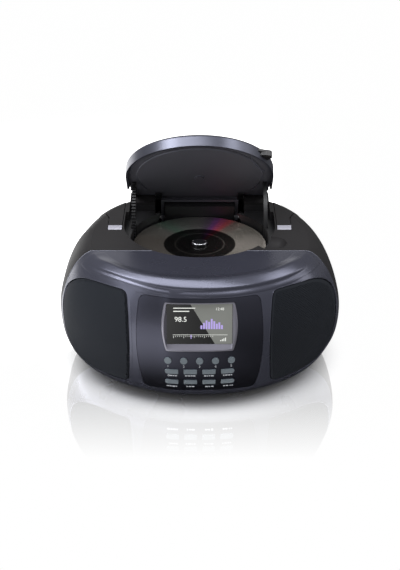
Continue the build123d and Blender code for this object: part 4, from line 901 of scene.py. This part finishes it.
# %% Marks under the buttons
number_pitch, bar_pitch = 13.1, 15.5
number_z, upper_z, lower_z = 43.9, 34.4, 21.9
marks = [text_shape(str(number + 1), 3.3, (number - 2) * number_pitch, number_z) for number in range(5)]
bar_x = [(column - 1.5) * bar_pitch for column in range(4)]
marks += [ring_shape(bar_x[0] - 2.6, upper_z, 0.9, 0.55), bar_shape(bar_x[0] - 2.6, upper_z + 0.6, 0.35, 1.2)]
marks += dashes(bar_x[0] + 1.4, upper_z, (2.2, 1.2, 1.6))
marks += dashes(bar_x[1], upper_z, (1.6, 2.4, 1.2, 1.8))
marks += dashes(bar_x[2], upper_z, (2.0, 1.0, 1.0, 2.6))
marks += dashes(bar_x[3], upper_z, (1.2, 2.2, 1.6, 1.0))
marks += dashes(bar_x[0], lower_z, (2.4, 1.2, 2.6, 1.0))
marks.append(([(bar_x[1] - 3.2, lower_z - 0.9), (bar_x[1] - 1.4, lower_z), (bar_x[1] - 3.2, lower_z + 0.9)],
              [(0, 1, 2)]))
marks += dashes(bar_x[1] + 1.2, lower_z, (1.4, 2.6))
marks += dashes(bar_x[2] - 1.0, lower_z, (2.2, 1.4)) + [bar_shape(bar_x[2] + 3.0, lower_z, 1.6, 1.6)]
marks += dashes(bar_x[3] - 1.4, lower_z, (1.6, 2.0))
for way in (-1, 1):
    tip = bar_x[3] + 3.2 + way * 1.7
    marks.append(([(tip, lower_z), (tip - way * 1.3, lower_z - 0.8), (tip - way * 1.3, lower_z + 0.8)],
                  [(0, 1, 2)]))
laid_shapes("panel_marks", marks, on_panel, finishes["print"])
print(f"panel: {len(marks)} marks")

# %% [markdown]
# ## Lines inside the lid
# The liner has a raised oval, an inner lip, a small ring in the middle, and a pocket behind the finger tab. Their
# edges catch thin lines of light, and these are painted highlights: each is a bead in a lighter finish, given by
# its places on the shut lid and dropped on the liner as the lid stands open in the model.

# %% Places on the open lid
hinge_y, hinge_z, lid_angle = 77.0, 91.7, math.radians(46.5)
below_lid_z, liner_gap = 95, 0.1


def opened(x, y, z):
    """Where a place on the shut lid is once the lid stands open."""
    back, up = y - hinge_y, z - hinge_z
    return Vector((x, hinge_y + back * math.cos(lid_angle) + up * math.sin(lid_angle),
                   hinge_z - back * math.sin(lid_angle) + up * math.cos(lid_angle)))


lid_up = opened(0, 0, 1) - opened(0, 0, 0)
liner_surface = surface_of(nodes["lid_liner"])


def on_liner(places):
    """The underside of the liner over places of the shut lid, left out where it has none."""
    hits = [liner_surface.ray_cast(opened(x, y, below_lid_z) * MM, lid_up)[0] for x, y in places]
    return [hit / MM - lid_up * liner_gap for hit in hits if hit is not None]


def arc(radius, first, last, middle_y=14.6, steps=60):
    """Part of a circle on the liner, between two turns in degrees."""
    turns = np.linspace(math.radians(first), math.radians(last), steps)
    return on_liner([(radius * math.cos(t), middle_y + radius * math.sin(t)) for t in turns])


print(f"lid: stands open by {math.degrees(lid_angle):.1f} degrees")

# %% Lid lines
bead("liner_lines", [arc(57.3, 150, 395), arc(4.6, 0, 360, 16.6, 25)], 0.3, finishes["edge"], "lid")
bead("liner_lip", [arc(63.6, 185, 325)], 0.45, finishes["line"], "lid")
pocket = on_liner([(45.5, -30), (46.2, -22), (48.5, -14), (53, -5), (58.3, 3.5)])
bead("lid_pocket_edge", [pocket], 0.5, finishes["edge"], "lid")
print(f"pocket edge: {len(pocket)} places")

# %% [markdown]
# ## Covers beside the hinge
# Two small plates close the gaps between the lid's hinge ears and its edge, so that no daylight shows through
# them. They are plain boxes on the lid.

# %% Hinge covers
cover_x, cover_y, cover_z = (35.8, 41.7), (49, 60.5), (104, 105)
box_faces = [(0, 1, 3, 2), (4, 6, 7, 5), (0, 4, 5, 1), (2, 3, 7, 6), (0, 2, 6, 4), (1, 5, 7, 3)]
cover_points = [opened(side * x, y, z) for side in (-1, 1) for z in cover_z for y in cover_y for x in cover_x]
cover_faces = box_faces + [tuple(8 + k for k in face[::-1]) for face in box_faces]
covers = new_piece("lid_hinge_covers", cover_points, cover_faces, finishes["black"], "lid", smooth=False)
face_outwards(covers.data)
print(f"hinge covers: {cover_x[1] - cover_x[0]:.1f} mm wide each")

# %% [markdown]
# ## Crown of the hub
# The clamping hub ends in a small glossy crown whose front catches the lamp as a bright crescent. Only that
# front part is made, as a bead round the hub's edge in a light metal, so the crescent is partly a painted
# highlight over the black hub.

# %% Hub crown
crown_radius, crown_z = 6.4, 98.2
hub_top = max(v.co.z for v in nodes["turntable_hub"].data.vertices) / MM
crown = [(crown_radius * math.cos(t), disc_middle_y + crown_radius * math.sin(t), crown_z)
         for t in np.linspace(3.5, 5.9, 25)]
bead("hub_crown", [crown], 0.7, finishes["crown"], "turntable")
print(f"top of the hub: {hub_top:.1f} mm")

# %% [markdown]
# ## Seam across the deck
# Where the dark front moulding meets the black deck, its edge catches a thin line of light on each side of
# the opening, painted here as a highlight: a bead in a lighter finish. The line follows the cabinet's own surface,
# whose height at the seam is found by halving.

# %% Seam line
seam_inner, seam_outer = 41, 116


def seam_height(x):
    """The height of the cabinet's surface at the seam, at a distance from the middle."""
    low, high = waist_z, deck_z
    for _ in range(40):
        z = (low + high) / 2
        share = share_at(z)
        deep = abs(seam_y - middle_y) / (front_reach * share)
        wide = half_width * share * max(0.0, 1 - deep**front_power) ** (1 / front_power)
        low, high = (z, high) if wide > x else (low, z)
    return low


paths = [[(side * x, seam_y + 0.05, seam_height(x) - 0.06) for x in np.linspace(seam_inner, seam_outer, 60)]
         for side in (-1, 1)]
bead("seam_line", paths, 0.3, finishes["line"], "cabinet")
print(f"seam: falls to {seam_height(seam_outer):.0f} mm at its ends")
